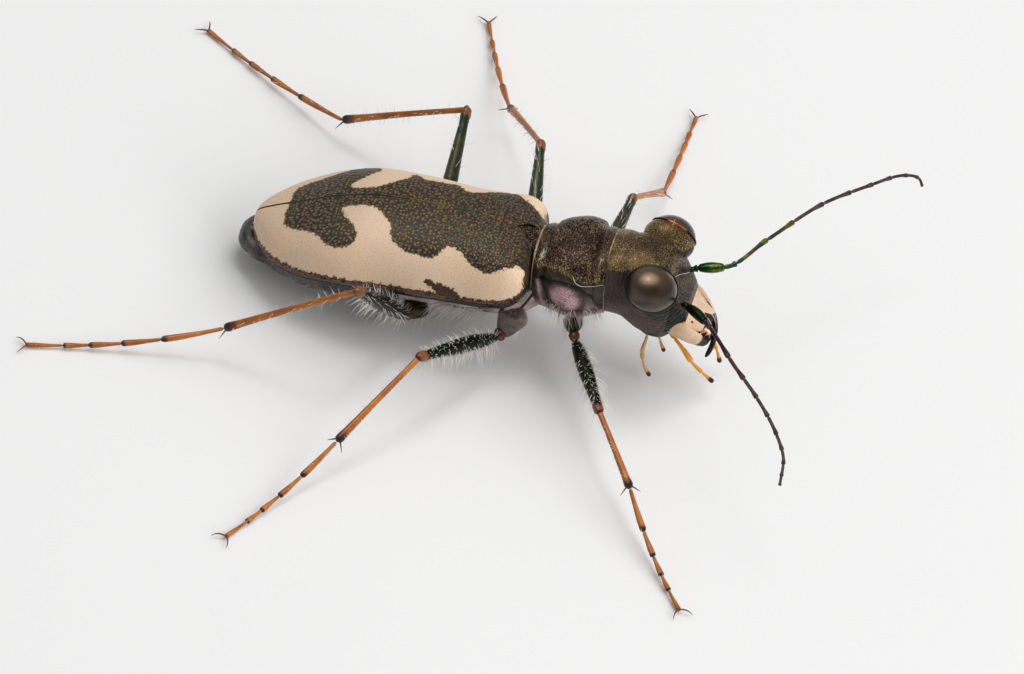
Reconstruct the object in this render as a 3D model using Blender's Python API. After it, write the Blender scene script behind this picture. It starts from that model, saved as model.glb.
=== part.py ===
# A tiger beetle at life size, a still display model that stands on its six feet.
# The driving sizes below are in millimetres and the angles in degrees.
# The head points to +X, the beetle's left side to +Y and up is +Z. The floor is at z = 0.
import math

import bmesh
import bpy
from mathutils import Matrix, Vector

MM = 0.001
# A real joint or seam is closed. Here a thin cut of this width parts one piece from the next.
GAP = 0.25

# The body frame has its origin on top of the scutellum, and its X runs along the body.
BODY_HEIGHT = 3.67
BODY_PITCH = 6.0
# This shift brings the middle of the standing beetle's box over the origin.
CENTRING_SHIFT = (1.52, -0.35)

# Elytra, the hardened fore wings, as (x, value) knots in the body frame
ELYTRA_FRONT = 0.10
ELYTRA_APEX = -8.0
ELYTRA_TOP = [(-8.0, -1.05), (-7.5, -0.80), (-6.7, -0.42), (-5.6, 0.08), (-4.4, 0.42), (-2.5, 0.52),
              (-1.2, 0.46), (-0.3, 0.28), (0.1, -0.05)]
ELYTRA_HALF_WIDTH = [(-8.0, 0.38), (-7.85, 0.72), (-7.5, 1.15), (-6.9, 1.62), (-6.0, 1.98), (-4.8, 2.12),
                     (-3.0, 2.02), (-1.2, 1.88), (-0.4, 1.82), (-0.1, 1.7), (0.1, 1.5)]
ELYTRA_MARGIN = [(-8.0, -1.5), (-7.5, -1.5), (-6.7, -1.42), (-5.2, -1.2), (-3.8, -1.12), (-1.6, -1.15),
                 (-0.3, -1.0), (0.1, -0.75)]
ELYTRA_ROUNDNESS = 2.3

# Thorax and abdomen under the elytra
UNDER_HALF_WIDTH = [(-8.5, 0.28), (-8.3, 0.55), (-8.1, 0.75), (-7.5, 1.08), (-7.1, 1.26), (-6.8, 1.4),
                    (-6.2, 1.56), (-5.5, 1.64), (-4.0, 1.56), (-3.0, 1.46), (-1.2, 1.4), (-0.5, 1.36),
                    (-0.1, 1.15), (0.1, 0.85)]
UNDER_TOP = [(-8.5, -1.95), (-8.2, -1.72), (-7.9, -1.76), (-7.5, -1.58), (-7.0, -1.28), (-6.7, -1.1),
             (-5.6, -0.6), (-4.4, -0.26), (-2.5, -0.16), (-1.2, -0.22), (-0.3, -0.4), (0.1, -0.73)]
UNDER_MIDDLE = [(-8.5, -2.05), (-7.5, -2.02), (-6.0, -1.9), (-4.0, -1.75), (0.0, -1.6)]
UNDER_BOTTOM = [(-8.5, -2.15), (-8.3, -2.25), (-8.1, -2.32), (-7.5, -2.45), (-6.8, -2.65), (-6.2, -2.75),
                (-5.5, -2.7), (-4.5, -2.55), (-3.1, -2.45), (-0.5, -2.4), (0.1, -2.0)]
PTEROTHORAX_SPAN = (0.1, -3.3)
ABDOMEN_SPAN = (-3.55, -8.5)
SCUTELLUM_SIZE = (0.5, 0.44, 1.0)
SCUTELLUM_TOP = 0.16

# Prothorax
PROTHORAX_SPAN = (0.35, 2.28)
PROTHORAX_HALF_WIDTH = [(0.35, 1.0), (0.6, 1.1), (1.0, 1.26), (1.6, 1.42), (2.05, 1.26), (2.28, 1.08)]
PROTHORAX_TOP = [(0.35, 0.0), (0.5, 0.08), (0.6, 0.24), (1.0, 0.36), (1.6, 0.45), (1.95, 0.36), (2.08, 0.24),
                 (2.28, 0.26)]
PROTHORAX_MIDDLE = -0.75
PROTHORAX_BOTTOM = [(0.35, -1.75), (1.0, -1.92), (1.5, -1.95), (2.0, -1.75), (2.28, -1.6)]
PROTHORAX_ROUNDNESS = 2.8

# Head, with its eyes, antennae and mouthparts
HEAD_SPAN = (2.53, 4.68)
HEAD_HALF_WIDTH = [(2.53, 0.98), (3.1, 1.04), (3.6, 1.05), (4.1, 0.98), (4.45, 0.8), (4.68, 0.62)]
HEAD_TOP = [(2.53, 0.34), (2.8, 0.44), (3.2, 0.47), (3.8, 0.38), (4.1, 0.16), (4.4, -0.38), (4.68, -0.92)]
HEAD_MIDDLE = [(2.53, -0.7), (3.8, -0.95), (4.68, -1.3)]
HEAD_BOTTOM = [(2.53, -1.55), (2.95, -1.68), (3.3, -2.12), (3.65, -2.28), (3.95, -2.28), (4.3, -2.08),
               (4.68, -1.75)]
HEAD_ROUNDNESS = 2.6
EYE_CENTRE = (3.8, 1.13, 0.0)
EYE_RADII = (0.72, 0.6, 0.64)
EYE_INNER_FACE = 0.78
ANTENNA_SOCKET = (4.61, 0.75, -0.715)
LABRUM_SPAN = (4.93, 5.45)
LABRUM_HALF_WIDTH = [(4.93, 0.6), (5.2, 0.56), (5.45, 0.3)]
LABRUM_TOP = [(4.93, -1.2), (5.2, -1.42), (5.45, -1.78)]
LABRUM_THICKNESS = 0.36

# Mouthparts of the right side (y below 0), as (x, y, z, radius) along each piece in the body frame
MANDIBLE_RIGHT = [(4.3, -0.84, -1.78, 0.2), (4.5, -0.84, -1.9, 0.28), (4.86, -0.8, -2.12, 0.27),
                  (5.06, -0.6, -2.32, 0.22), (5.08, -0.3, -2.46, 0.16), (4.9, -0.04, -2.56, 0.06)]
MANDIBLE_LEFT = [(4.3, 0.84, -1.78, 0.2), (4.5, 0.84, -1.9, 0.28), (4.95, 0.84, -2.1, 0.27),
                 (5.34, 0.62, -2.32, 0.22), (5.54, 0.2, -2.62, 0.17), (5.52, -0.2, -2.82, 0.12),
                 (5.34, -0.46, -2.96, 0.05)]
TOOTH_LENGTH = 0.3
TOOTH_RADIUS = 0.11
TEETH = [(0.45, 0.9), (0.58, 1.0), (0.72, 0.8)]
MAXILLARY_PALP_RIGHT = [(4.08, -0.42, -2.25, 0.2), (4.46, -0.52, -2.75, 0.23), (4.88, -0.58, -3.14, 0.2),
                        (5.28, -0.6, -3.4, 0.2), (5.62, -0.6, -3.66, 0.12)]
MAXILLARY_PALP_LEFT = [(4.08, 0.42, -2.25, 0.2), (4.46, 0.5, -2.78, 0.23), (4.85, 0.5, -3.3, 0.2),
                       (5.2, 0.45, -3.6, 0.2), (5.54, 0.4, -3.84, 0.12)]
LABIAL_PALP_RIGHT = [(3.42, -0.32, -2.05, 0.19), (3.42, -0.45, -2.7, 0.22), (3.5, -0.62, -3.26, 0.19),
                     (3.66, -0.7, -3.55, 0.19), (3.84, -0.76, -3.82, 0.12)]
LABIAL_PALP_LEFT = [(3.42, 0.32, -2.05, 0.19), (3.55, 0.34, -2.7, 0.22), (3.74, 0.3, -3.2, 0.19),
                    (3.88, 0.25, -3.45, 0.19), (4.0, 0.22, -3.68, 0.12)]

# Antennae as few points on their route above the floor, and where each length ends as a share of the whole
ANTENNA_RIGHT = [(4.66, -0.74, 3.44), (5.45, -1.45, 3.66), (6.49, -2.93, 3.98), (7.5, -4.1, 4.03),
                 (8.4, -5.23, 3.9), (8.8, -6.0, 3.74), (8.89, -6.65, 3.44)]
ANTENNA_LEFT = [(4.66, 0.74, 3.44), (5.55, 0.95, 3.66), (6.37, 2.16, 3.91), (7.54, 4.05, 4.03),
                (8.73, 5.46, 3.98), (9.52, 6.36, 3.8), (9.9, 6.55, 3.64), (10.06, 6.46, 3.44)]
ANTENNA_LENGTHS = [("base", 0.0, 0.44), ("middle", 0.44, 0.77), ("tip", 0.77, 1.0)]
ANTENNA_RADIUS = [(0.0, 0.2), (0.06, 0.26), (0.12, 0.22), (0.5, 0.22), (0.9, 0.17), (1.0, 0.1)]

# Legs: hip of the right side in the body frame, where the coxa starts inside the thorax, and lengths
LEGS = {
    "front": {"hip": (1.62, -1.27, -2.27), "root": (1.5, -0.8, -1.78), "lengths": (3.07, 2.59, 3.99)},
    "middle": {"hip": (-0.41, -1.58, -2.18), "root": (-0.35, -0.92, -2.1), "lengths": (3.66, 3.38, 4.44)},
    "hind": {"hip": (-2.9, -1.4, -2.44), "root": (-2.72, -0.86, -2.25), "lengths": (4.06, 4.41, 5.62)},
}
# Stance: azimuth and rise of the femur, azimuth and rise of the tibia, azimuth of the tarsus
STANCE = {
    ("front", "right"): (-62.1, 1.5, -53.7, -12.9, -52.8),
    ("middle", "right"): (-119.4, 15.9, -120.1, -25.4, -118.5),
    ("hind", "right"): (-118.2, 42.9, -176.2, -36.6, -161.2),
    ("front", "left"): (83.8, 8.7, 72.9, -34.1, 88.4),
    ("middle", "left"): (100.5, 14.3, 117.8, -26.5, 111.3),
    ("hind", "left"): (97.5, 34.1, 168.7, -33.3, 149.3),
}
FOOT_HEIGHT = 0.12
# The tarsus comes down steeply from the ankle and levels out, so that its last joints lie on the floor.
TARSUS_LEVELLING = 2.2
COXA_RADIUS = 0.42
HIP_BALL = 0.28
KNEE_BALL = 0.27
ANKLE_BALL = 0.25
# Radius along each limb, from its near end to its far end
FEMUR_RADIUS = [(0.0, 0.2), (0.15, 0.26), (0.45, 0.29), (0.8, 0.24), (1.0, 0.25)]
TIBIA_RADIUS = [(0.0, 0.22), (0.5, 0.23), (0.9, 0.25), (1.0, 0.25)]
TARSOMERE_ENDS = (0.44, 0.62, 0.76, 0.86, 1.0)
TARSUS_RADIUS = 0.2
TARSOMERE_SWELL = 0.05
TARSUS_TIP_RADIUS = 0.17
CLAW_LENGTH = 0.45
CLAW_SPREAD = 26.0
CLAW_RADIUS = 0.1
CLAW_TIP_RADIUS = 0.04
SPUR_LENGTH = 0.5
SPUR_RADIUS = 0.1
SPUR_SPREAD = 38.0

BODY_SIDES = 24
TUBE_RESOLUTION = 2
SIDES = {"right": -1, "left": 1}

# Colour, roughness and metallic value of each finish
BRONZE = ((0.060, 0.045, 0.030), 0.45, 0.7)
DARK_SIDE = ((0.045, 0.035, 0.045), 0.4, 0.5)
ELYTRON_BROWN = ((0.110, 0.085, 0.060), 0.4, 0.5)
EYE_GREY = ((0.060, 0.045, 0.035), 0.15, 0.0)
CREAM = ((0.720, 0.520, 0.340), 0.4, 0.0)
AMBER = ((0.720, 0.340, 0.060), 0.4, 0.0)
GREEN_METAL = ((0.030, 0.060, 0.035), 0.35, 0.8)
ANTENNA_DULL = ((0.090, 0.055, 0.055), 0.6, 0.2)
ORANGE_SHELL = ((0.420, 0.150, 0.030), 0.35, 0.0)


def along(knots, x):
    """Reads a smooth curve through (x, value) knots that doesn't overshoot them."""
    if x <= knots[0][0]:
        return knots[0][1]
    if x >= knots[-1][0]:
        return knots[-1][1]
    steps = [(b[0] - a[0], (b[1] - a[1]) / (b[0] - a[0])) for a, b in zip(knots, knots[1:])]
    slopes = [steps[0][1]]
    for (_, before), (_, after) in zip(steps, steps[1:]):
        slopes.append(2 * before * after / (before + after) if before * after > 0 else 0.0)
    slopes.append(steps[-1][1])
    i = max(k for k in range(len(steps)) if knots[k][0] <= x)
    width = steps[i][0]
    t = (x - knots[i][0]) / width
    return ((2 * t ** 3 - 3 * t ** 2 + 1) * knots[i][1] + (t ** 3 - 2 * t ** 2 + t) * width * slopes[i]
            + (3 * t ** 2 - 2 * t ** 3) * knots[i + 1][1] + (t ** 3 - t ** 2) * width * slopes[i + 1])


def spaced(start, end, count):
    """Count + 1 stations from start to end, closer together at both ends."""
    return [start + (end - start) * (1 - math.cos(math.pi * k / count)) / 2 for k in range(count + 1)]


def route_point(route, share):
    """The point at a share of the way along a smooth curve through the route's points."""
    marks = [0.0]
    for a, b in zip(route, route[1:]):
        marks.append(marks[-1] + (Vector(b[:3]) - Vector(a[:3])).length)
    at = share * marks[-1]
    return [along([(m, p[i]) for m, p in zip(marks, route)], at) for i in range(len(route[0]))]


def body_point(x, y, z):
    """A point of the body frame in the frame of the standing beetle."""
    turn = math.radians(BODY_PITCH)
    return Vector((math.cos(turn) * x - math.sin(turn) * z, y,
                   math.sin(turn) * x + math.cos(turn) * z + BODY_HEIGHT))


def new_object(name, mesh, parent):
    obj = bpy.data.objects.new(name, mesh)
    beetle.objects.link(obj)
    obj.parent = parent
    return obj


def finish(obj, look):
    """Gives the piece its own material and smooth shading."""
    colour, roughness, metallic = look
    material = bpy.data.materials.new(obj.name)
    material.use_nodes = True
    shader = material.node_tree.nodes["Principled BSDF"]
    shader.inputs["Base Color"].default_value = (*colour, 1.0)
    shader.inputs["Roughness"].default_value = roughness
    shader.inputs["Metallic"].default_value = metallic
    obj.data.materials.clear()
    obj.data.materials.append(material)
    obj.data.shade_smooth()
    obj.data.set_sharp_from_angle(angle=math.radians(40))
    return obj


def loft(name, rings, parent):
    """A closed solid through rings of equally many (x, y, z) points in millimetres, with flat ends."""
    bm = bmesh.new()
    rows = [[bm.verts.new(Vector(p) * MM) for p in ring] for ring in rings]
    count = len(rows[0])
    for a, b in zip(rows, rows[1:]):
        for k in range(count):
            bm.faces.new((a[k], a[(k + 1) % count], b[(k + 1) % count], b[k]))
    bm.faces.new(rows[0])
    bm.faces.new(rows[-1])
    bmesh.ops.recalc_face_normals(bm, faces=bm.faces)
    mesh = bpy.data.meshes.new(name)
    bm.to_mesh(mesh)
    bm.free()
    return new_object(name, mesh, parent)


def section(x, half_width, top, middle, bottom, roundness=2.4):
    """One ring across the body: an oval with its own height above and below its widest level."""
    points = []
    for k in range(BODY_SIDES):
        turn = 2 * math.pi * k / BODY_SIDES
        across = math.copysign(abs(math.cos(turn)) ** (2 / roundness), math.cos(turn))
        height = math.copysign(abs(math.sin(turn)) ** (2 / roundness), math.sin(turn))
        reach = top - middle if height > 0 else middle - bottom
        points.append((x, half_width * across, middle + reach * height))
    return points


def ball(name, centre, radii, parent):
    """An ellipsoid with its poles on the Y axis."""
    bm = bmesh.new()
    stretch = Matrix.Translation(Vector(centre) * MM) @ Matrix.Diagonal((*[r * MM for r in radii], 1.0))
    bmesh.ops.create_uvsphere(bm, u_segments=20, v_segments=12, radius=1.0,
                              matrix=stretch @ Matrix.Rotation(math.pi / 2, 4, "X"))
    bmesh.ops.recalc_face_normals(bm, faces=bm.faces)
    mesh = bpy.data.meshes.new(name)
    bm.to_mesh(mesh)
    bm.free()
    return new_object(name, mesh, parent)


def tube(name, points, parent):
    """A round limb through (x, y, z, radius) points in millimetres, as a closed mesh."""
    curve = bpy.data.curves.new(name, "CURVE")
    curve.dimensions = "3D"
    curve.bevel_depth = MM
    curve.bevel_resolution = TUBE_RESOLUTION
    curve.use_fill_caps = True
    spline = curve.splines.new("POLY")
    spline.points.add(len(points) - 1)
    for place, (x, y, z, radius) in zip(spline.points, points):
        place.co = (x * MM, y * MM, z * MM, 1.0)
        place.radius = radius
    guide = bpy.data.objects.new(name, curve)
    beetle.objects.link(guide)
    graph = bpy.context.evaluated_depsgraph_get()
    mesh = bpy.data.meshes.new_from_object(guide.evaluated_get(graph))
    bpy.data.objects.remove(guide)
    bpy.data.curves.remove(curve)
    bm = bmesh.new()
    bm.from_mesh(mesh)
    bmesh.ops.remove_doubles(bm, verts=bm.verts, dist=1e-7)
    bmesh.ops.recalc_face_normals(bm, faces=bm.faces)
    bm.to_mesh(mesh)
    bm.free()
    mesh.name = name
    return new_object(name, mesh, parent)


def smooth_tube(name, route, count, parent, grow=0.0):
    """A tube along a smooth curve through the route, with the first and last ring drawn in to a round end."""
    points = [route_point(route, k / count) for k in range(count + 1)]
    return tube(name, rounded(points, grow), parent)


def rounded(points, grow=0.0):
    """Adds a ring past each end, so that the tube closes with a round nose. Grow widens and lengthens it."""
    first, last = Vector(points[0][:3]), Vector(points[-1][:3])
    back = (first - Vector(points[1][:3])).normalized()
    on = (last - Vector(points[-2][:3])).normalized()
    start_radius, end_radius = points[0][3] + grow, points[-1][3] + grow
    body = [(x, y, z, radius + grow) for x, y, z, radius in points]
    nose = (0.6, 0.8), (0.95, 0.3)
    before = [(*(first + back * start_radius * far), start_radius * wide) for far, wide in reversed(nose)]
    after = [(*(last + on * end_radius * far), end_radius * wide) for far, wide in nose]
    return before + body + after


def combine(obj, others, operation):
    """One applied Boolean of the object with a collection of others, which are removed."""
    group = bpy.data.collections.new("operands")
    bpy.context.scene.collection.children.link(group)
    for other in others:
        group.objects.link(other)
        beetle.objects.unlink(other)
    change = obj.modifiers.new("combine", "BOOLEAN")
    change.operand_type = "COLLECTION"
    change.collection = group
    change.operation = operation
    change.solver = "EXACT"
    bpy.context.view_layer.update()
    graph = bpy.context.evaluated_depsgraph_get()
    mesh = bpy.data.meshes.new_from_object(obj.evaluated_get(graph))
    obj.modifiers.clear()
    old = obj.data
    obj.data = mesh
    bpy.data.meshes.remove(old)
    mesh.name = obj.name
    for other in others:
        bpy.data.objects.remove(other)
    bpy.data.collections.remove(group)
    keep_largest(obj)
    return obj


def keep_largest(obj):
    """Keeps only the largest closed surface of the mesh."""
    bm = bmesh.new()
    bm.from_mesh(obj.data)
    bmesh.ops.remove_doubles(bm, verts=bm.verts, dist=1e-7)
    unseen = set(bm.faces)
    pieces = []
    while unseen:
        piece, border = set(), [unseen.pop()]
        while border:
            face = border.pop()
            piece.add(face)
            near = {f for edge in face.edges for f in edge.link_faces} & unseen
            unseen -= near
            border.extend(near)
        pieces.append(piece)
    largest = max(pieces, key=lambda piece: sum(face.calc_area() for face in piece))
    spare = [face for piece in pieces if piece is not largest for face in piece]
    bmesh.ops.delete(bm, geom=spare, context="FACES")
    bm.to_mesh(obj.data)
    bm.free()


def bisect(obj, point, normal):
    """Cuts off what lies on the normal's side of a plane and closes the cut with a flat face."""
    bm = bmesh.new()
    bm.from_mesh(obj.data)
    cut = bmesh.ops.bisect_plane(bm, geom=bm.verts[:] + bm.edges[:] + bm.faces[:], dist=1e-8,
                                 plane_co=Vector(point) * MM, plane_no=Vector(normal), clear_outer=True)
    rim = [e for e in cut["geom_cut"] if isinstance(e, bmesh.types.BMEdge)]
    bmesh.ops.contextual_create(bm, geom=rim)
    bmesh.ops.recalc_face_normals(bm, faces=bm.faces)
    bm.to_mesh(obj.data)
    bm.free()
    return obj


def mirrored(route):
    return [(x, -y, *rest) for x, y, *rest in route]


def under_elytra(name, span, grow=0.0):
    """Thorax or abdomen below the elytra, or the space that it needs where grow is the gap."""
    start, end = span[0] + grow, span[1] - grow
    rings = [section(x, along(UNDER_HALF_WIDTH, x) + grow, along(UNDER_TOP, x) + grow, along(UNDER_MIDDLE, x),
                     along(UNDER_BOTTOM, x) - grow) for x in spaced(start, end, 12)]
    return loft(name, rings, body)


def eye(name, side, grow=0.0):
    """A bulging eye with a flat face towards the head, or its socket where grow is the gap."""
    x, y, z = EYE_CENTRE
    globe = ball(name, (x, side * y, z), [r + grow for r in EYE_RADII], body)
    return bisect(globe, (x, side * (EYE_INNER_FACE - grow), z), (0, -side, 0))


def coxa_route(place, side):
    """The coxa from inside the thorax to the hip, where it ends in a ball."""
    root, hip = Vector(LEGS[place]["root"]), Vector(LEGS[place]["hip"])
    knots = [(0.0, COXA_RADIUS * 0.8), (0.35, COXA_RADIUS), (0.7, COXA_RADIUS * 0.85), (1.0, HIP_BALL)]
    route = [(*root.lerp(hip, share), radius) for share, radius in knots]
    return route if side < 0 else mirrored(route)


def build_prothorax():
    rings = [section(x, along(PROTHORAX_HALF_WIDTH, x), along(PROTHORAX_TOP, x), PROTHORAX_MIDDLE,
                     along(PROTHORAX_BOTTOM, x), PROTHORAX_ROUNDNESS) for x in spaced(*PROTHORAX_SPAN, 14)]
    shell = loft("prothorax", rings, body)
    sockets = [smooth_tube("socket", coxa_route("front", side), 4, body, GAP) for side in SIDES.values()]
    finish(combine(shell, sockets, "DIFFERENCE"), BRONZE)


def scutellum(grow=0.0):
    """The small shield between the elytra, as a tapered peg that stands up from the thorax."""
    bm = bmesh.new()
    length, width, height = [size + 2 * grow for size in SCUTELLUM_SIZE]
    top = SCUTELLUM_TOP + grow
    place = Matrix.Translation(Vector((ELYTRA_FRONT - length / 2 + grow, 0, top - height / 2)) * MM)
    bmesh.ops.create_cube(bm, size=1.0, matrix=place @ Matrix.Diagonal((length * MM, width * MM, height * MM, 1)))
    for vert in bm.verts:
        if vert.co.x < (ELYTRA_FRONT - length / 2) * MM:
            vert.co.y *= 0.45
    mesh = bpy.data.meshes.new("scutellum")
    bm.to_mesh(mesh)
    bm.free()
    return new_object("scutellum", mesh, body)


def build_pterothorax():
    core = under_elytra("pterothorax", PTEROTHORAX_SPAN)
    combine(core, [scutellum()], "UNION")
    sockets = [smooth_tube("socket", coxa_route(place, side), 4, body, GAP)
               for place in ("middle", "hind") for side in SIDES.values()]
    finish(combine(core, sockets, "DIFFERENCE"), DARK_SIDE)


def build_abdomen():
    belly = under_elytra("abdomen", ABDOMEN_SPAN)
    sockets = [smooth_tube("socket", coxa_route("hind", side), 4, body, GAP) for side in SIDES.values()]
    finish(combine(belly, sockets, "DIFFERENCE"), DARK_SIDE)


def build_elytron(side_name, side):
    """Half a dome from the suture to the margin, hollowed by the space of what lies below it."""
    rings = []
    inner = GAP / 2
    for x in spaced(ELYTRA_FRONT, ELYTRA_APEX, 20):
        half_width, top, margin = (along(k, x) for k in (ELYTRA_HALF_WIDTH, ELYTRA_TOP, ELYTRA_MARGIN))
        ring = [(x, side * inner, margin)]
        for k in range(11):
            turn = math.pi / 2 * k / 10
            across = math.sin(turn) ** (2 / ELYTRA_ROUNDNESS)
            height = max(math.cos(turn), 0.0) ** (2 / ELYTRA_ROUNDNESS)
            ring.append((x, side * (inner + (half_width - inner) * across), margin + (top - margin) * height))
        rings.append(ring)
    dome = loft("elytron_" + side_name, rings, body)
    spaces = [under_elytra("space", (PTEROTHORAX_SPAN[0] + 0.4, PTEROTHORAX_SPAN[1]), GAP),
              under_elytra("space", ABDOMEN_SPAN, GAP), scutellum(GAP)]
    finish(combine(dome, spaces, "DIFFERENCE"), ELYTRON_BROWN)


def build_head():
    rings = [section(x, along(HEAD_HALF_WIDTH, x), along(HEAD_TOP, x), along(HEAD_MIDDLE, x),
                     along(HEAD_BOTTOM, x), HEAD_ROUNDNESS) for x in spaced(*HEAD_SPAN, 14)]
    skull = loft("head", rings, body)
    spaces = [eye("socket", side, GAP) for side in SIDES.values()]
    for side in SIDES.values():
        x, y, z = ANTENNA_SOCKET
        radius = ANTENNA_RADIUS[0][1] + GAP
        spaces.append(ball("socket", (x, side * y, z), (radius, radius, radius), body))
    for route in MOUTHPARTS.values():
        spaces.append(smooth_tube("socket", route[:3], 5, body, GAP))
    finish(combine(skull, spaces, "DIFFERENCE"), BRONZE)
    for side_name, side in SIDES.items():
        finish(eye("eye_" + side_name, side), EYE_GREY)


def build_labrum():
    rings = []
    for x in spaced(*LABRUM_SPAN, 6):
        top = along(LABRUM_TOP, x)
        rings.append(section(x, along(LABRUM_HALF_WIDTH, x), top, top - LABRUM_THICKNESS / 2,
                             top - LABRUM_THICKNESS, 3.0))
    finish(loft("labrum", rings, body), CREAM)


def build_mandible(name, route):
    """A sickle with a row of teeth on its inner edge."""
    sickle = smooth_tube(name, route, 12, body)
    inwards = -math.copysign(1, route[0][1])
    teeth = []
    for share, size in TEETH:
        x, y, z, radius = route_point(route, share)
        tip = Vector((x, y, z)) + Vector((-0.35, inwards, -0.1)).normalized() * (radius + TOOTH_LENGTH * size)
        teeth.append(tube("tooth", [(x, y, z, TOOTH_RADIUS), (*tip, TOOTH_RADIUS * 0.3)], body))
    finish(combine(sickle, teeth, "UNION"), CREAM)


def build_antenna(side_name, route):
    total = sum((Vector(b) - Vector(a)).length for a, b in zip(route, route[1:]))
    half_cut = GAP / 2 / total
    for length_name, start, end in ANTENNA_LENGTHS:
        start = start + half_cut if start > 0 else start
        end = end - half_cut if end < 1 else end
        steps = max(6, round((end - start) * total / 0.3))
        points = []
        for k in range(steps + 1):
            share = start + (end - start) * k / steps
            points.append((*route_point(route, share), along(ANTENNA_RADIUS, share)))
        look = GREEN_METAL if length_name == "base" else ANTENNA_DULL
        finish(tube(f"antenna_{length_name}_{side_name}", points, beetle_root), look)


def direction(azimuth, rise):
    a, r = math.radians(azimuth), math.radians(rise)
    return Vector((math.cos(r) * math.cos(a), math.cos(r) * math.sin(a), math.sin(r)))


def limb(name, joint, azimuth, rise, points):
    """A limb modelled along its own +X from a joint, then set in its stance."""
    obj = tube(name, points, beetle_root)
    obj.location = joint * MM
    obj.rotation_euler = (0, -math.radians(rise), math.radians(azimuth))
    return obj


def limb_points(length, near_ball, far_ball, radii, rings):
    """Rings from just clear of the near joint's ball to a round far end."""
    start = near_ball + GAP
    points = []
    for k in range(rings + 1):
        share = k / rings
        points.append((start + (length - start) * share, 0.0, 0.0, along(radii, share)))
    points[-1] = (length, 0.0, 0.0, far_ball)
    return points + rounded(points)[-2:]


def spike(name, start, heading, length, radius, tip_radius, limb_object):
    """A spur or claw in the frame of its limb, rooted inside it."""
    end = start + heading.normalized() * length
    obj = tube(name, [(*start, radius), (*start.lerp(end, 0.5), radius * 0.75), (*end, tip_radius)], beetle_root)
    obj.location = limb_object.location
    obj.rotation_euler = limb_object.rotation_euler
    return obj


def build_leg(place, side_name):
    side = SIDES[side_name]
    femur_length, tibia_length, tarsus_length = LEGS[place]["lengths"]
    femur_azimuth, femur_rise, tibia_azimuth, tibia_rise, tarsus_azimuth = STANCE[place, side_name]
    hip_x, hip_y, hip_z = LEGS[place]["hip"]
    hip = body_point(hip_x, -side * hip_y, hip_z)
    knee = hip + direction(femur_azimuth, femur_rise) * femur_length
    ankle = knee + direction(tibia_azimuth, tibia_rise) * tibia_length
    drop = ankle.z - FOOT_HEIGHT
    ending = f"{place}_{side_name}"

    finish(smooth_tube("coxa_" + ending, coxa_route(place, side), 6, body), GREEN_METAL)
    femur = limb("femur_" + ending, hip, femur_azimuth, femur_rise,
                 limb_points(femur_length, HIP_BALL, KNEE_BALL, FEMUR_RADIUS, 6))
    finish(femur, GREEN_METAL)

    tibia = limb("tibia_" + ending, knee, tibia_azimuth, tibia_rise,
                 limb_points(tibia_length, KNEE_BALL, ANKLE_BALL, TIBIA_RADIUS, 5))
    spurs = []
    for turn in (-SPUR_SPREAD, SPUR_SPREAD):
        heading = Vector((math.cos(math.radians(turn)), math.sin(math.radians(turn)), -0.35))
        spurs.append(spike("spur", Vector((tibia_length - 0.12, 0, 0)), heading, SPUR_LENGTH,
                           SPUR_RADIUS, SPUR_RADIUS * 0.4, tibia))
    finish(combine(tibia, spurs, "UNION"), ORANGE_SHELL)

    tarsus = limb("tarsus_" + ending, ankle, tarsus_azimuth, 0, tarsus_points(tarsus_length, drop))
    reach = math.sqrt(tarsus_length ** 2 - drop ** 2)
    claws = []
    for turn in (-CLAW_SPREAD, CLAW_SPREAD):
        heading = Vector((math.cos(math.radians(turn)), math.sin(math.radians(turn)), -0.12))
        claws.append(spike("claw", Vector((reach - 0.08, 0, -drop)), heading, CLAW_LENGTH,
                           CLAW_RADIUS, CLAW_TIP_RADIUS, tarsus))
    combine(tarsus, claws, "UNION")
    flatten_foot(tarsus)
    finish(tarsus, ORANGE_SHELL)


def tarsus_points(length, drop):
    """Five tarsomeres, each a little swollen at its far end, that level out towards the floor."""
    profile = [(0.0, TARSUS_RADIUS)]
    before = 0.0
    for end in TARSOMERE_ENDS[:-1]:
        profile += [(before + 0.75 * (end - before), TARSUS_RADIUS), (end, TARSUS_RADIUS + TARSOMERE_SWELL),
                    (end + 0.02, TARSUS_TIP_RADIUS + 0.02)]
        before = end
    profile += [(before + 0.75 * (1 - before), TARSUS_TIP_RADIUS), (1.0, TARSUS_TIP_RADIUS)]
    start = (ANKLE_BALL + GAP) / length
    reach = math.sqrt(length ** 2 - drop ** 2)
    points = []
    for share, radius in profile:
        share = start + share * (1 - start)
        height = drop * (1 - share) ** TARSUS_LEVELLING
        points.append((share * reach, 0.0, height - drop, radius))
    return points + rounded(points)[-2:]


def flatten_foot(tarsus):
    """Cuts the foot level with the floor, so that it stands on a small flat."""
    bpy.context.view_layer.update()
    level = tarsus.matrix_world.inverted()
    floor_point = level @ Vector((0, 0, 0))
    down = (level.to_3x3() @ Vector((0, 0, -1))).normalized()
    bisect(tarsus, floor_point / MM, down)


MOUTHPARTS = {
    "mandible_right": MANDIBLE_RIGHT,
    "mandible_left": MANDIBLE_LEFT,
    "maxillary_palp_right": MAXILLARY_PALP_RIGHT,
    "maxillary_palp_left": MAXILLARY_PALP_LEFT,
    "labial_palp_right": LABIAL_PALP_RIGHT,
    "labial_palp_left": LABIAL_PALP_LEFT,
}

for obj in list(bpy.data.objects):
    bpy.data.objects.remove(obj, do_unlink=True)
beetle = bpy.data.collections.new("tiger_beetle")
bpy.context.scene.collection.children.link(beetle)

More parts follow.
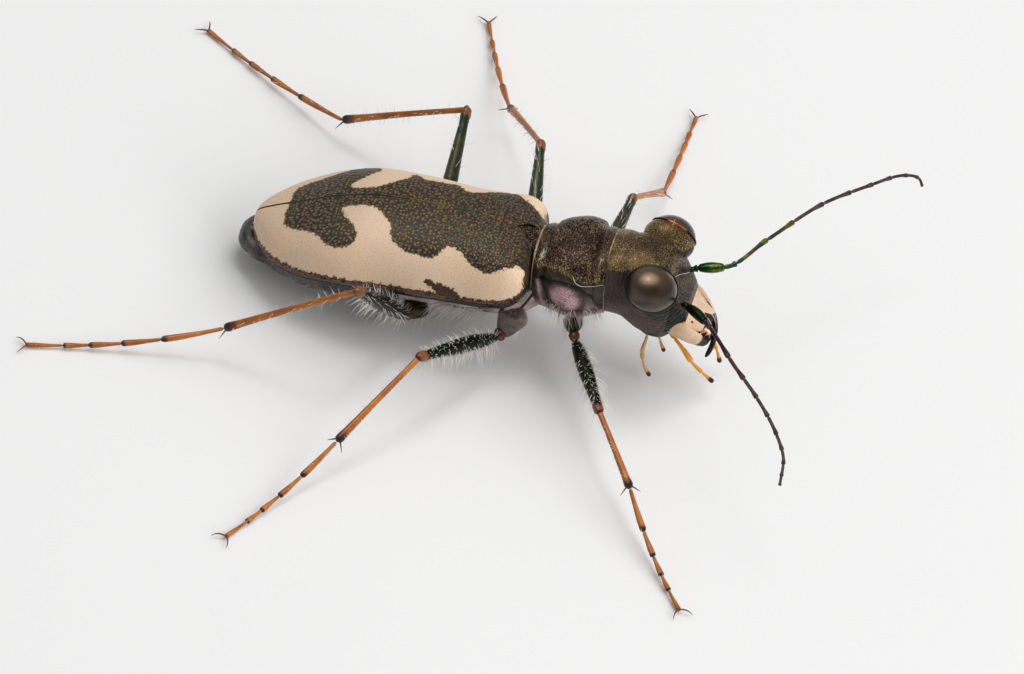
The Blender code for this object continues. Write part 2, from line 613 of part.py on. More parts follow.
beetle_root = bpy.data.objects.new("beetle_root", None)
beetle_root.location = (CENTRING_SHIFT[0] * MM, CENTRING_SHIFT[1] * MM, 0)
beetle.objects.link(beetle_root)
body = bpy.data.objects.new("body_frame", None)
body.parent = beetle_root
body.location = (0, 0, BODY_HEIGHT * MM)
body.rotation_euler = (0, -math.radians(BODY_PITCH), 0)
beetle.objects.link(body)

build_prothorax()
build_pterothorax()
build_abdomen()
for side_name, side in SIDES.items():
    build_elytron(side_name, side)
build_head()
build_labrum()
build_mandible("mandible_right", MANDIBLE_RIGHT)
build_mandible("mandible_left", MANDIBLE_LEFT)
for name, route in MOUTHPARTS.items():
    if "palp" in name:
        finish(smooth_tube(name, route, 8, body), AMBER)
build_antenna("right", ANTENNA_RIGHT)
build_antenna("left", ANTENNA_LEFT)
for place, side_name in STANCE:
    build_leg(place, side_name)
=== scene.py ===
import math

import bpy
import numpy as np
from mathutils import Matrix, Vector


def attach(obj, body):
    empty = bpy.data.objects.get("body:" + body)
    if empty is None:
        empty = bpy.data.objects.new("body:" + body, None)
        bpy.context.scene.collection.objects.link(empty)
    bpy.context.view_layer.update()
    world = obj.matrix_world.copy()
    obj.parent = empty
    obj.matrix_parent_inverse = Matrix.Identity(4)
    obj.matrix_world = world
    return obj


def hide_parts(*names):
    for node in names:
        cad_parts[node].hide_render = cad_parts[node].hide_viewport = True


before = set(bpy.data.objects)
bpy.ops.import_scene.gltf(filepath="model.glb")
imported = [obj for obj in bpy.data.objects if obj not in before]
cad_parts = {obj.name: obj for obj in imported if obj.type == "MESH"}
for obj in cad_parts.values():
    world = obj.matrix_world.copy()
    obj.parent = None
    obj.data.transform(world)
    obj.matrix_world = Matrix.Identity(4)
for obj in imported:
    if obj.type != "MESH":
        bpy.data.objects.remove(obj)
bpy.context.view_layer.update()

# The place of the beetle.
# It stands on its six feet with the floor at z = 0 and its head to +X. The body is pitched nose up, and
# its own frame starts on top of the scutellum. Sizes are in millimetres and are turned to metres here.
MM = 0.001
BODY_HEIGHT = 3.67
BODY_PITCH = math.radians(6.0)
BODY_PLACE = np.array([1.52, -0.35, 0.0])
SIDES = {"right": -1, "left": 1}


def from_floor(points):
    """Points above the floor, measured from below the scutellum, in the frame of the part."""
    return np.asarray(points, float) + BODY_PLACE


def from_body(points):
    """Points of the body's own frame in the frame of the part."""
    x, y, z = np.moveaxis(np.asarray(points, float), -1, 0)
    forward = math.cos(BODY_PITCH) * x - math.sin(BODY_PITCH) * z
    upward = math.sin(BODY_PITCH) * x + math.cos(BODY_PITCH) * z + BODY_HEIGHT
    return from_floor(np.stack([forward, y, upward], -1))


# The studio.
# A plain pale floor under soft, even light, and the camera at the height, turn and roll of the picture.
# The camera stands well back with a long lens, as close-up pictures of small insects are taken.
CAMERA_PLACE = (23.54, -189.16, 188.93)
CAMERA_AZIMUTH = math.radians(6.65)
CAMERA_ELEVATION = math.radians(44.89)
CAMERA_ROLL = math.radians(10.93)
CAMERA_LENS = 330.5
FLOOR_SIZE = 3.0
FLOOR_COLOUR, FLOOR_LIGHTER = (0.84, 0.84, 0.838), 1.03
# The room's light, and what is left of it where the camera stands
WORLD_LIGHT, WORLD_SHADE = 0.32, 0.1
SHADE_CONE = (0.8, 0.95)
# Softboxes as (name, place in metres, size, radiance, tint). The last two are seen in glints alone and the
# others never.
SOFTBOXES = [
    ("light_above", (0.21, 0.12, 0.36), 0.48, 1.6, (1.0, 1.0, 1.0)),
    ("light_lamp", (-0.02, 0.09, 0.39), 0.12, 5.0, (1.0, 1.0, 1.0)),
    ("light_front", (0.24, -0.14, 0.16), 0.26, 2.3, (1.0, 1.0, 1.0)),
    ("light_sheen", (-0.13, 0.01, 0.36), 0.5, 1.4, (1.0, 0.92, 0.82)),
    ("light_glint", (-0.15, 0.0, 0.36), 0.09, 9.0, (0.72, 0.86, 1.0)),
]


def deselect():
    bpy.ops.object.select_all(action="DESELECT")


def add(kind, inputs, tree=None, **settings):
    """Adds a shader node. An input takes a value or another node's output, whose tree the node joins."""
    tree = tree or next(v for v in inputs.values() if isinstance(v, bpy.types.NodeSocket)).id_data
    made = tree.nodes.new("ShaderNode" + kind)
    for key, value in settings.items():
        setattr(made, key, value)
    for key, value in inputs.items():
        if isinstance(value, bpy.types.NodeSocket):
            tree.links.new(value, made.inputs[key])
        else:
            made.inputs[key].default_value = value
    return made


def new_material(name, **sockets):
    """A Principled material. Its constant values are set on the shader's own sockets."""
    made = bpy.data.materials.new(name)
    made.use_nodes = True
    shader = made.node_tree.nodes["Principled BSDF"]
    for key, value in sockets.items():
        shader.inputs[key.replace("_", " ").title().replace("Ior", "IOR")].default_value = value
    return made, made.node_tree, shader


def feed(shader, **outputs):
    """Links outputs of nodes to the shader's sockets."""
    for key, output in outputs.items():
        shader.id_data.links.new(output, shader.inputs[key.replace("_", " ").title()])


def maths(operation, a, b=0.0, c=0.0):
    return add("Math", {0: a, 1: b, 2: c}, operation=operation).outputs[0]


def times(a, b):
    return maths("MULTIPLY", a, b)


def times_plus(a, b, c):
    return maths("MULTIPLY_ADD", a, b, c)


def opaque(value):
    """A colour with its fourth number. Anything else comes back as it is."""
    return (*value, 1.0) if isinstance(value, tuple) and len(value) == 3 else value


def mix(share, a, b):
    """Blends two colours, given as outputs or as values."""
    return add("Mix", {0: share, 6: opaque(a), 7: opaque(b)}, data_type="RGBA").outputs[2]


def coated(colour, *coats):
    """A colour under coats of (share, colour), each over the last."""
    for share, coat in coats:
        colour = mix(share, colour, coat)
    return colour


def rise(value, low, high, start=0.0, end=1.0):
    """A smooth step from start to end as the value goes from low to high."""
    inputs = {0: value, 1: low, 2: high, 3: start, 4: end}
    return add("MapRange", inputs, interpolation_type="SMOOTHSTEP").outputs[0]


def ramp(value, stops):
    """A colour ramp of (place, colour) stops."""
    made = add("ValToRGB", {0: value})
    elements = made.color_ramp.elements
    while len(elements) < len(stops):
        elements.new(0.5)
    for element, (place, colour) in zip(elements, stops):
        element.position = place
        element.color = (*colour, 1.0)
    return made.outputs[0]


def noise(where, scale, detail=3.0, roughness=0.55):
    inputs = {"Vector": where, "Scale": scale, "Detail": detail, "Roughness": roughness}
    return add("TexNoise", inputs).outputs["Fac"]


def attribute(tree, name):
    return add("Attribute", {}, tree, attribute_name=name).outputs["Fac"]


def in_millimetres(tree):
    """Object coordinates in millimetres."""
    where = add("TexCoord", {}, tree).outputs["Object"]
    return add("Mapping", {"Vector": where, "Scale": (1000.0, 1000.0, 1000.0)}).outputs[0]


def axis(where, number):
    """One coordinate of a place: 0 for x, 1 for y and 2 for z."""
    return add("SeparateXYZ", {0: where}).outputs[number]


def vector(operation, a, b=(0.0, 0.0, 0.0), output=0):
    return add("VectorMath", {0: a, 1: b}, operation=operation).outputs[output]


def cells(where, scale, randomness=1.0, **settings):
    """Voronoi cells: the distance from each middle, three chances of each cell, and where its middle is."""
    made = add("TexVoronoi", {"Vector": where, "Scale": scale, "Randomness": randomness}, **settings)
    chances = add("SeparateColor", {0: made.outputs["Color"]}).outputs
    return made.outputs["Distance"], chances, made.outputs["Position"]


def add_bump(shader, height, depth, strength=1.0):
    """Relief of the given depth in millimetres."""
    bump = add("Bump", {"Height": height, "Distance": depth * MM, "Strength": strength})
    feed(shader, normal=bump.outputs[0])


deselect()
bpy.ops.mesh.primitive_plane_add(size=FLOOR_SIZE, location=(0, 0, 0))
studio_floor = bpy.context.object
studio_floor.name = "studio_floor"
floor_material, floor_tree, floor_shader = new_material("studio_floor", roughness=0.75)
floor_grain = noise(in_millimetres(floor_tree), 0.05)
floor_tint = mix(floor_grain, FLOOR_COLOUR, tuple(c * FLOOR_LIGHTER for c in FLOOR_COLOUR))
feed(floor_shader, base_color=floor_tint)
studio_floor.data.materials.append(floor_material)

scene = bpy.context.scene
scene.view_settings.view_transform = "Standard"
scene.world = bpy.data.worlds.new("studio_light")
scene.world.use_nodes = True
world_tree = scene.world.node_tree
world_light = world_tree.nodes["Background"]
world_light.inputs["Color"].default_value = (1.0, 1.0, 1.0, 1.0)
sky = add("TexCoord", {}, world_tree).outputs["Generated"]
to_camera = vector("DOT_PRODUCT", sky, tuple(Vector(CAMERA_PLACE).normalized()), "Value")
feed(world_light, strength=rise(to_camera, *SHADE_CONE, WORLD_LIGHT, WORLD_SHADE))
for light_name, light_place, light_size, radiance, tint in SOFTBOXES:
    softbox = bpy.data.lights.new(light_name, "AREA")
    softbox.shape = "DISK"
    softbox.size = light_size
    softbox.energy = radiance * math.pi * light_size ** 2
    softbox.color = tint
    box = bpy.data.objects.new(light_name, softbox)
    box.location = light_place
    box.rotation_euler = (-Vector(light_place)).to_track_quat("-Z", "Y").to_euler()
    box.visible_camera = False
    box.visible_glossy = light_name in ("light_sheen", "light_glint")
    box.visible_diffuse = not box.visible_glossy
    scene.collection.objects.link(box)

level = Vector((math.cos(CAMERA_AZIMUTH), math.sin(CAMERA_AZIMUTH), 0))
sight = Vector((-math.sin(CAMERA_AZIMUTH) * math.cos(CAMERA_ELEVATION),
                math.cos(CAMERA_AZIMUTH) * math.cos(CAMERA_ELEVATION), -math.sin(CAMERA_ELEVATION)))
overhead = level.cross(sight)
right = level * math.cos(CAMERA_ROLL) + overhead * math.sin(CAMERA_ROLL)
camera_up = overhead * math.cos(CAMERA_ROLL) - level * math.sin(CAMERA_ROLL)
camera = bpy.data.objects.new("camera", bpy.data.cameras.new("camera"))
camera.data.lens = CAMERA_LENS
camera.data.clip_start = 0.01
camera.matrix_world = (Matrix.Translation(Vector(CAMERA_PLACE) * MM)
                       @ Matrix((right, camera_up, -sight)).transposed().to_4x4())
scene.collection.objects.link(camera)
scene.camera = camera

# The hind body below the elytra: thorax plates and abdomen.
# Both are hard dark plates that meet in fine seams. The abdomen's six belly plates overlap to the rear
# like shingles. All are one lapped skin over the soft body, glossy below and violet grey at the sides.
HIND_FRONT, THORAX_END, HIND_END = 0.42, -3.42, -8.5
HIND_HALF_WIDTH = [(-8.5, 0.18), (-8.42, 0.4), (-8.3, 0.58), (-8.1, 0.78), (-7.5, 1.1), (-7.1, 1.28),
    (-6.8, 1.42), (-6.2, 1.58), (-5.5, 1.66), (-4.0, 1.6), (-3.0, 1.52), (-1.2, 1.46), (-0.5, 1.42),
    (-0.1, 1.3), (0.1, 1.15), (0.42, 0.9)]
HIND_TOP = [(-8.5, -1.98), (-8.42, -1.82), (-8.2, -1.7), (-7.9, -1.72), (-7.5, -1.5), (-7.0, -1.2),
    (-6.7, -1.0), (-5.6, -0.5), (-4.4, -0.2), (-2.5, -0.1), (-1.2, -0.16), (-0.3, -0.3), (0.42, -0.5)]
HIND_MIDDLE = [(-8.5, -2.05), (-7.5, -2.0), (-6.0, -1.85), (-4.0, -1.7), (0.0, -1.5), (0.42, -1.3)]
HIND_BOTTOM = [(-8.5, -2.12), (-8.42, -2.22), (-8.3, -2.3), (-8.1, -2.34), (-7.5, -2.42), (-6.8, -2.57),
    (-6.2, -2.65), (-5.5, -2.62), (-4.5, -2.52), (-3.1, -2.45), (-0.5, -2.42), (0.1, -2.35), (0.42, -2.2)]
BELLY_PLATE_EDGES = (-3.95, -4.75, -5.6, -6.45, -7.25, -7.95)
PLATE_STEP = 0.045
# Seams between the side plates of the thorax as lines of (x, height share) points, -1 being the belly
SIDE_SEAMS = [
    [(0.36, 0.1), (0.02, -0.35), (-0.32, -0.9)],
    [(-0.2, 0.35), (-0.42, -0.1), (-0.62, -0.8)],
    [(-0.62, -0.05), (-1.2, -0.32), (-2.2, -0.46), (-3.1, -0.5)],
    [(-0.9, 0.25), (-2.0, 0.12), (-3.2, 0.02)],
    [(-0.62, -0.8), (-0.95, -0.42)],
    [(-2.35, -0.9), (-2.45, -0.5)],
]
SEAM_DEPTH, SEAM_WIDTH = 0.05, 0.055
MERGE_DISTANCE = 1e-7


def along(knots, x):
    """Reads a smooth curve through (place, value) knots at each x, without overshooting them."""
    places, values = np.array(knots, float).T
    widths = np.diff(places)
    rises = np.diff(values) / widths
    both = rises[:-1] * rises[1:]
    total = np.where(both > 0, rises[:-1] + rises[1:], 1.0)
    slopes = np.concatenate([rises[:1], np.where(both > 0, 2 * both / total, 0.0), rises[-1:]])
    x = np.clip(x, places[0], places[-1])
    i = np.clip(np.searchsorted(places, x, side="right") - 1, 0, len(widths) - 1)
    t = (x - places[i]) / widths[i]
    start = (2 * t ** 3 - 3 * t ** 2 + 1) * values[i] + (t ** 3 - 2 * t ** 2 + t) * widths[i] * slopes[i]
    end = (3 * t ** 2 - 2 * t ** 3) * values[i + 1] + (t ** 3 - t ** 2) * widths[i] * slopes[i + 1]
    return start + end


def smooth(value, low, high):
    t = np.clip((value - low) / (high - low), 0, 1)
    return t * t * (3 - 2 * t)


def hump(value, middle, width):
    return np.exp(-((value - middle) / width) ** 2)


def line_distance(x, y, line):
    """Distance of each point from a line of few points."""
    nearest = np.full(np.shape(x), 1e9)
    for (ax, ay), (bx, by) in zip(line, line[1:]):
        dx, dy = bx - ax, by - ay
        t = np.clip(((x - ax) * dx + (y - ay) * dy) / (dx * dx + dy * dy), 0, 1)
        nearest = np.minimum(nearest, np.hypot(x - ax - t * dx, y - ay - t * dy))
    return nearest


def end_spaced(v):
    """Shares from 0 to 1 that crowd towards both ends, where the rings turn in."""
    return (1 - np.cos(np.pi * np.clip(v, 0, 1))) / 2


def oval(turn, roundness):
    """Width and height shares round a squarish oval, with turn in radians from the left side upwards."""
    across, height = np.cos(turn), np.sin(turn)
    return (np.sign(across) * np.abs(across) ** (2 / roundness),
            np.sign(height) * np.abs(height) ** (2 / roundness))


def closed_ends(v):
    """One along a piece and nought at both ends, where the last ring meets in a point."""
    return np.where((v <= 0) | (v >= 1), 0.0, 1.0)


def body_points(x, y, z):
    return from_body(np.stack([x, y, z], -1))


def select_only(piece):
    deselect()
    piece.select_set(True)
    bpy.context.view_layer.objects.active = piece


def in_edit_mode(piece, *steps):
    """Runs edit mode operators on the whole of one piece."""
    select_only(piece)
    bpy.ops.object.mode_set(mode="EDIT")
    bpy.ops.mesh.select_all(action="SELECT")
    for step in steps:
        step()
    bpy.ops.object.mode_set(mode="OBJECT")


def sheet(name, columns, rows, place, fields=None, closed=True, plan=None):
    """A grid primitive whose points are laid out by place, a function of two shares from 0 to 1.

    Fields gives named values of the points, all at once or as a function or number each. Plan gives their
    place on the UV map. A closed sheet has its seam and its ends merged. The faces are turned outwards."""
    deselect()
    bpy.ops.mesh.primitive_grid_add(x_subdivisions=columns, y_subdivisions=rows, size=1)
    piece = bpy.context.object
    piece.name = piece.data.name = name
    mesh = piece.data
    flat = np.empty(len(mesh.vertices) * 3)
    mesh.vertices.foreach_get("co", flat)
    u, v = flat[0::3] + 0.5, flat[1::3] + 0.5
    mesh.vertices.foreach_set("co", (place(u, v) * MM).ravel())
    for field_name, field in (fields(u, v) if callable(fields) else fields or {}).items():
        values = field(u, v) if callable(field) else field + 0 * u
        mesh.attributes.new(field_name, "FLOAT", "POINT").data.foreach_set("value", np.asarray(values, float))
    if plan:
        corners = np.empty(len(mesh.loops), int)
        mesh.loops.foreach_get("vertex_index", corners)
        mesh.uv_layers[0].data.foreach_set("uv", np.stack(plan(u, v), -1)[corners].ravel())
    mesh.update()
    if closed:
        in_edit_mode(piece, lambda: bpy.ops.mesh.remove_doubles(threshold=MERGE_DISTANCE),
                     lambda: bpy.ops.mesh.normals_make_consistent(inside=False))
    else:
        middle = sum((v.co for v in mesh.vertices), Vector()) / len(mesh.vertices)
        if sum((f.center - middle).dot(f.normal) * f.area for f in mesh.polygons) < 0:
            in_edit_mode(piece, bpy.ops.mesh.flip_normals)
    mesh.shade_smooth()
    return piece


def belong(piece, material, slot, *nodes):
    """Gives the piece its finish, sets it on the body and lets it stand for its plain solids."""
    piece.data.materials.clear()
    piece.data.materials.append(material)
    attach(piece, "root")
    if nodes:
        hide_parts(*nodes)
    return piece


def hind_section(x, u, roundness=2.4):
    across, height = oval(2 * np.pi * u, roundness)
    middle = along(HIND_MIDDLE, x)
    reach = np.where(height > 0, along(HIND_TOP, x) - middle, middle - along(HIND_BOTTOM, x))
    return across, height, middle, reach


def seam_field(x, height):
    return sum(hump(line_distance(x, height, line), 0, SEAM_WIDTH) for line in SIDE_SEAMS)


def thorax_place(u, v):
    x = HIND_FRONT + (THORAX_END - HIND_FRONT) * end_spaced(v)
    across, height, middle, reach = hind_section(x, u)
    seam = seam_field(x, height)
    swell = 0.03 * hump(height, -0.2, 0.3) * np.sin(x * 3.1) ** 2
    grow = 1 + swell - SEAM_DEPTH * np.minimum(seam, 1.0) * (np.abs(across) > 0.3)
    grow *= closed_ends(v)
    return body_points(x, along(HIND_HALF_WIDTH, x) * across * grow, middle + reach * height * grow)


# The seam field: the seams between the plates, plus painted shade on the upper thorax under the elytra, teal
# turning black towards the top.
def thorax_seams_and_shade(u, v):
    x = HIND_FRONT + (THORAX_END - HIND_FRONT) * end_spaced(v)
    _, height, _, _ = hind_section(x, u)
    return seam_field(x, height) + smooth(height, 0.15, 0.45)


def belly_step(x):
    """Each belly plate swells to its rear edge and steps down to the next."""
    edges = [THORAX_END + 0.2, *BELLY_PLATE_EDGES, HIND_END - 0.3]
    lift = np.zeros_like(x)
    for start, end in zip(edges, edges[1:]):
        share = (start - x) / (start - end)
        lift += np.where((share >= 0) & (share < 1), PLATE_STEP * smooth(share, 0, 0.75), 0)
    return lift


def abdomen_place(u, v):
    x = THORAX_END + 0.15 + (HIND_END - THORAX_END - 0.15) * v
    across, height, middle, reach = hind_section(x, u)
    lift = belly_step(x) * (height < 0.3)
    width = along(HIND_HALF_WIDTH, x) * (1 - 0.07 * smooth(x, -5.5, -7.5)) + lift
    close = closed_ends(v)
    return body_points(x, width * across * close, middle + (reach + lift) * height * close)


def dark_plates(name, top_colour, side_colour, gloss):
    """Dark cuticle with fine scratches, a violet cast and black seams; the seam field also carries painted
    shade.
    """
    made, tree, shader = new_material(name, roughness=0.32, specular_ior_level=0.3)
    where = in_millimetres(tree)
    cast = rise(noise(where, 1.6, 4.0), 0.35, 0.65)
    grain = noise(where, 14.0, 3.0)
    seam = attribute(tree, "seam")
    feed(shader, base_color=coated(
        mix(cast, top_colour, side_colour),
        (rise(grain, 0.45, 0.75, 0.0, 0.4), tuple(1.6 * c for c in side_colour)),
        (rise(seam, 0.12, 0.5), (0.02, 0.042, 0.04)),
        (rise(seam, 0.5, 0.9), (0.005, 0.006, 0.006))))
    feed(shader, roughness=rise(grain, 0.2, 0.8, gloss, gloss + 0.2))
    add_bump(shader, grain, 0.012, 0.6)
    return made


violet_side = dark_plates("violet_side", (0.21, 0.155, 0.138), (0.5, 0.375, 0.355), 0.34)
black_belly = dark_plates("black_belly", (0.026, 0.021, 0.022), (0.115, 0.096, 0.096), 0.2)
thorax = sheet("thorax_plates", 120, 120, thorax_place, {"seam": thorax_seams_and_shade})
belong(thorax, violet_side, "dark_underside", "pterothorax")
abdomen = sheet("abdomen_plates", 96, 170, abdomen_place, {"seam": 0})
belong(abdomen, black_belly, "dark_underside", "abdomen")

# The prothorax.
# One hard ring of bronze cuticle, pinched by a cross groove near each end and parted by a fine line along
# its middle. Below the side edge it turns violet and smooth. A tan skin shows at its front and rear rims.
PROTHORAX_SPAN = (0.27, 2.36)
PROTHORAX_HALF_WIDTH = [(0.27, 1.0), (0.45, 1.08), (0.6, 1.11), (1.0, 1.31), (1.55, 1.46), (1.9, 1.4),
    (2.05, 1.29), (2.2, 1.22), (2.36, 1.15)]
PROTHORAX_TOP = [(0.27, 0.02), (0.4, 0.1), (0.5, 0.13), (0.62, 0.22), (1.0, 0.39), (1.6, 0.48), (1.9, 0.44),
    (2.04, 0.33), (2.18, 0.39), (2.36, 0.4)]
PROTHORAX_MIDDLE = -0.78
PROTHORAX_BOTTOM = [(0.27, -2.12), (1.0, -2.1), (1.5, -2.06), (2.0, -1.92), (2.36, -1.8)]
# Height shares of the lower edge of the gilded back and of the black seam below it
BACK_EDGE = [(0.27, 0.64), (0.9, 0.64), (1.5, 0.58), (1.85, 0.5), (2.36, 0.52)]
FLANK_SEAM = [(0.27, 0.3), (0.75, 0.32), (1.28, 0.42), (1.61, 0.4), (1.84, 0.32), (2.05, 0.1),
    (2.21, -0.21)]
REAR_FURROW = [(0.55, 0.3), (0.75, -0.2), (1.0, -0.75)]
FRONT_FURROW = [(1.7, -0.35), (2.1, -0.5), (2.3, -0.9)]
PROTHORAX_ROUNDNESS = 2.5
REAR_GROOVE, FRONT_GROOVE = 0.6, 2.05
GROOVE_DEPTH, GROOVE_WIDTH = 0.07, 0.06


def prothorax_at(u, v):
    x = PROTHORAX_SPAN[0] + (PROTHORAX_SPAN[1] - PROTHORAX_SPAN[0]) * np.clip(v * 1.04 - 0.02, 0, 1)
    across, height = oval(2 * np.pi * u, PROTHORAX_ROUNDNESS)
    return x, across, height


def prothorax_relief(x, across, height):
    upper = smooth(height, -0.15, 0.1)
    grooves = hump(x, REAR_GROOVE, GROOVE_WIDTH) + hump(x, FRONT_GROOVE, GROOVE_WIDTH)
    relief = -GROOVE_DEPTH * upper * grooves
    relief -= 0.035 * hump(across, 0, 0.03) * (height > 0) * hump(x, 1.3, 0.75)
    relief += 0.03 * hump(np.abs(across), 0.45, 0.22) * (height > 0) * hump(x, 1.35, 0.42)
    relief -= 0.04 * hump(height, along(FLANK_SEAM, x), 0.05)
    relief += 0.05 * hump(np.hypot((x - 1.35) / 0.6, (height - 0.1) / 0.3), 0, 0.8)
    relief -= 0.05 * hump(line_distance(x, height, REAR_FURROW), 0, 0.05)
    relief -= 0.04 * hump(line_distance(x, height, FRONT_FURROW), 0, 0.04)
    return relief


def prothorax_reach(x, height):
    """How far the ring reaches up or down from its middle."""
    return np.where(height > 0, along(PROTHORAX_TOP, x) - PROTHORAX_MIDDLE,
                    PROTHORAX_MIDDLE - along(PROTHORAX_BOTTOM, x))


def rim_bow(x, across):
    """Both rims bow forwards at the sides."""
    return across ** 2 * (0.02 * smooth(x, 0.6, 0.27) + 0.05 * smooth(x, 1.9, 2.36))


def prothorax_place(u, v):
    x, across, height = prothorax_at(u, v)
    relief = prothorax_relief(x, across, height)
    roll = np.where((v < 0.02) | (v > 0.98), 0.06, 0.0)
    grow, close = relief - roll, closed_ends(v)
    return body_points(x + rim_bow(x, across), (along(PROTHORAX_HALF_WIDTH, x) + grow) * across * close,
                       PROTHORAX_MIDDLE + (prothorax_reach(x, height) + grow) * height * close)


def granular_bronze(name, scale=21.0, stretch=(1.0, 1.0, 1.0)):
    """Fine raised grains on near black ground, brown or, by the gold field, gold and green.

    The side field turns the cuticle smooth and dark, with pink patches and black seams by their fields."""
    made, tree, shader = new_material(name, roughness=0.3, specular_ior_level=0.2)
    where = in_millimetres(tree)
    stretched = add("Mapping", {"Vector": where, "Scale": stretch}).outputs[0]
    distance, chances, _ = cells(stretched, scale)
    brown = ramp(chances[0], [
        (0.0, (0.21, 0.13, 0.095)), (0.35, (0.46, 0.28, 0.175)), (0.55, (0.7, 0.45, 0.23)),
        (0.75, (0.38, 0.18, 0.19)), (0.9, (0.5, 0.42, 0.22)), (1.0, (0.95, 0.72, 0.42))])
    gilt = ramp(chances[0], [
        (0.0, (0.34, 0.21, 0.08)), (0.35, (0.66, 0.47, 0.16)), (0.6, (0.95, 0.72, 0.34)),
        (0.75, (0.46, 0.42, 0.18)), (0.88, (0.52, 0.22, 0.1)), (1.0, (1.0, 0.92, 0.55))])
    patch = noise(where, 1.5, 3.0)
    gold = maths("ADD", attribute(tree, "gold"), rise(patch, 0.35, 0.7, -0.1, 0.2))
    lit = times(rise(times_plus(gold, 0.3, chances[1]), 0.05, 0.85, 0.2, 1.05),
                rise(noise(where, 2.3, 3.0), 0.34, 0.62, 0.55, 1.3))
    dome = rise(distance, 0.62, 0.2)
    # A painted pale teal sheen where the sheen field is high, at the grooves near the prothorax's ends.
    teal = mix(chances[2], (0.3, 0.42, 0.34), (0.62, 0.72, 0.66))
    grains = coated(
        mix(rise(patch, 0.4, 0.62), (0.026, 0.017, 0.016), (0.048, 0.032, 0.023)),
        (rise(gold, 0.2, 0.9), (0.125, 0.088, 0.042)),
        (times(dome, lit), mix(rise(gold, 0.1, 0.9), brown, gilt)),
        (times(attribute(tree, "sheen"), rise(chances[2], 0.25, 0.75)), teal))
    fine = rise(noise(where, 26.0, 2.0), 0.38, 0.68)
    blotch = rise(noise(where, 2.4, 3.0), 0.34, 0.56, 0.3, 1.0)
    flank = coated(
        mix(rise(noise(where, 2.6, 3.0), 0.4, 0.62), (0.024, 0.015, 0.012), (0.05, 0.042, 0.027)),
        (times(fine, 0.35), (0.1, 0.085, 0.075)),
        (times(attribute(tree, "pink"), blotch), mix(fine, (0.36, 0.205, 0.215), (0.74, 0.48, 0.52))),
        (attribute(tree, "seam"), (0.004, 0.004, 0.003)))
    ragged = rise(noise(where, 4.5, 4.0), 0.3, 0.7, -0.45, 0.45)
    side = rise(maths("ADD", attribute(tree, "side"), ragged), 0.35, 0.65)
    feed(shader, base_color=mix(side, grains, flank), metallic=rise(side, 0.0, 1.0, 0.9, 0.2))
    add_bump(shader, times(dome, rise(side, 0.0, 1.0, 1.0, 0.15)), 0.02)
    return made


bronze = granular_bronze("bronze_cuticle", 24.0, (1.25, 0.8, 0.8))


def prothorax_fields(u, v):
    """The smooth side, gold by its edge and by the grooves, pink below the seam, seams and a pale shine."""
    x, across, height = prothorax_at(u, v)
    above = height > 0
    back_edge, flank_seam = along(BACK_EDGE, x), along(FLANK_SEAM, x)
    ragged = back_edge + 0.03 * np.sin(x * 47.0) * np.sin(x * 11.0)
    gold_edge = 0.75 * hump(height - back_edge, 0.03, 0.09) * (0.6 + 0.4 * hump(x, 0.7, 0.5))
    ridges = 0.8 * hump(x, 0.45, 0.07) + 0.6 * hump(x, 2.14, 0.06) + 0.3 * hump(x, 1.9, 0.1)
    # The flank's pink swelling, and paler streaks behind, below and before it
    swelling = smooth(np.hypot((x - 1.35) / 0.58, height / 0.42), 1.0, 0.55)
    behind = 0.7 * hump(line_distance(x, height, [(0.45, 0.2), (0.62, -0.5)]), 0, 0.07)
    low = 0.55 * smooth(height, -0.35, -0.6)
    before = 0.5 * hump(np.hypot(x - 2.05, (height + 0.25) * 0.7), 0, 0.14)
    pink = np.maximum.reduce([swelling, behind, low, before])
    seam = hump(height, flank_seam, 0.035) * smooth(x, 0.5, 0.8)
    ends = 0.5 * hump(x, 0.5, 0.07) + 0.25 * hump(x, 2.12, 0.08)
    return {
        "side": smooth(height, ragged + 0.03, ragged - 0.05),
        "gold": 0.1 + gold_edge + ridges * smooth(np.abs(across), 0.3, 0.8) * above,
        "pink": np.clip(smooth(height, flank_seam - 0.03, flank_seam - 0.12) * pink, 0, 1),
        "seam": np.clip(seam + hump(line_distance(x, height, REAR_FURROW), 0, 0.035), 0, 1),
        "sheen": hump(np.abs(across), 0.6, 0.2) * above * ends,
    }


prothorax = sheet("prothorax_ring", 200, 120, prothorax_place, prothorax_fields)
belong(prothorax, bronze, "bronze_cuticle", "prothorax")

# The head.
# A bronze capsule like the prothorax, as wide as it, flat between the eyes and steep in front. Its cheeks
# are violet brown with fine lines that follow the eye, and a metallic rim runs round each eye.
HEAD_SPAN = (2.3, 4.74)
HEAD_HALF_WIDTH = [(2.3, 1.08), (2.45, 1.12), (2.7, 1.1), (3.1, 1.08), (3.6, 1.06), (4.1, 1.14), (4.3, 1.1),
    (4.5, 0.97), (4.74, 0.7)]
HEAD_TOP = [(2.3, 0.34), (2.45, 0.42), (2.8, 0.5), (3.2, 0.52), (3.8, 0.43), (4.1, 0.2), (4.4, -0.36),
    (4.74, -1.0)]
HEAD_MIDDLE = [(2.3, -0.7), (3.8, -0.95), (4.74, -1.3)]
HEAD_BOTTOM = [(2.3, -1.72), (2.55, -1.74), (2.85, -1.8), (3.08, -2.02), (3.3, -2.22), (3.65, -2.4),
    (3.95, -2.38), (4.3, -2.12), (4.74, -1.7)]
# Height shares of the lower edge of the gilded crown
CROWN_EDGE = [(2.3, 0.72), (2.8, 0.74), (3.1, 0.82), (4.4, 0.82)]
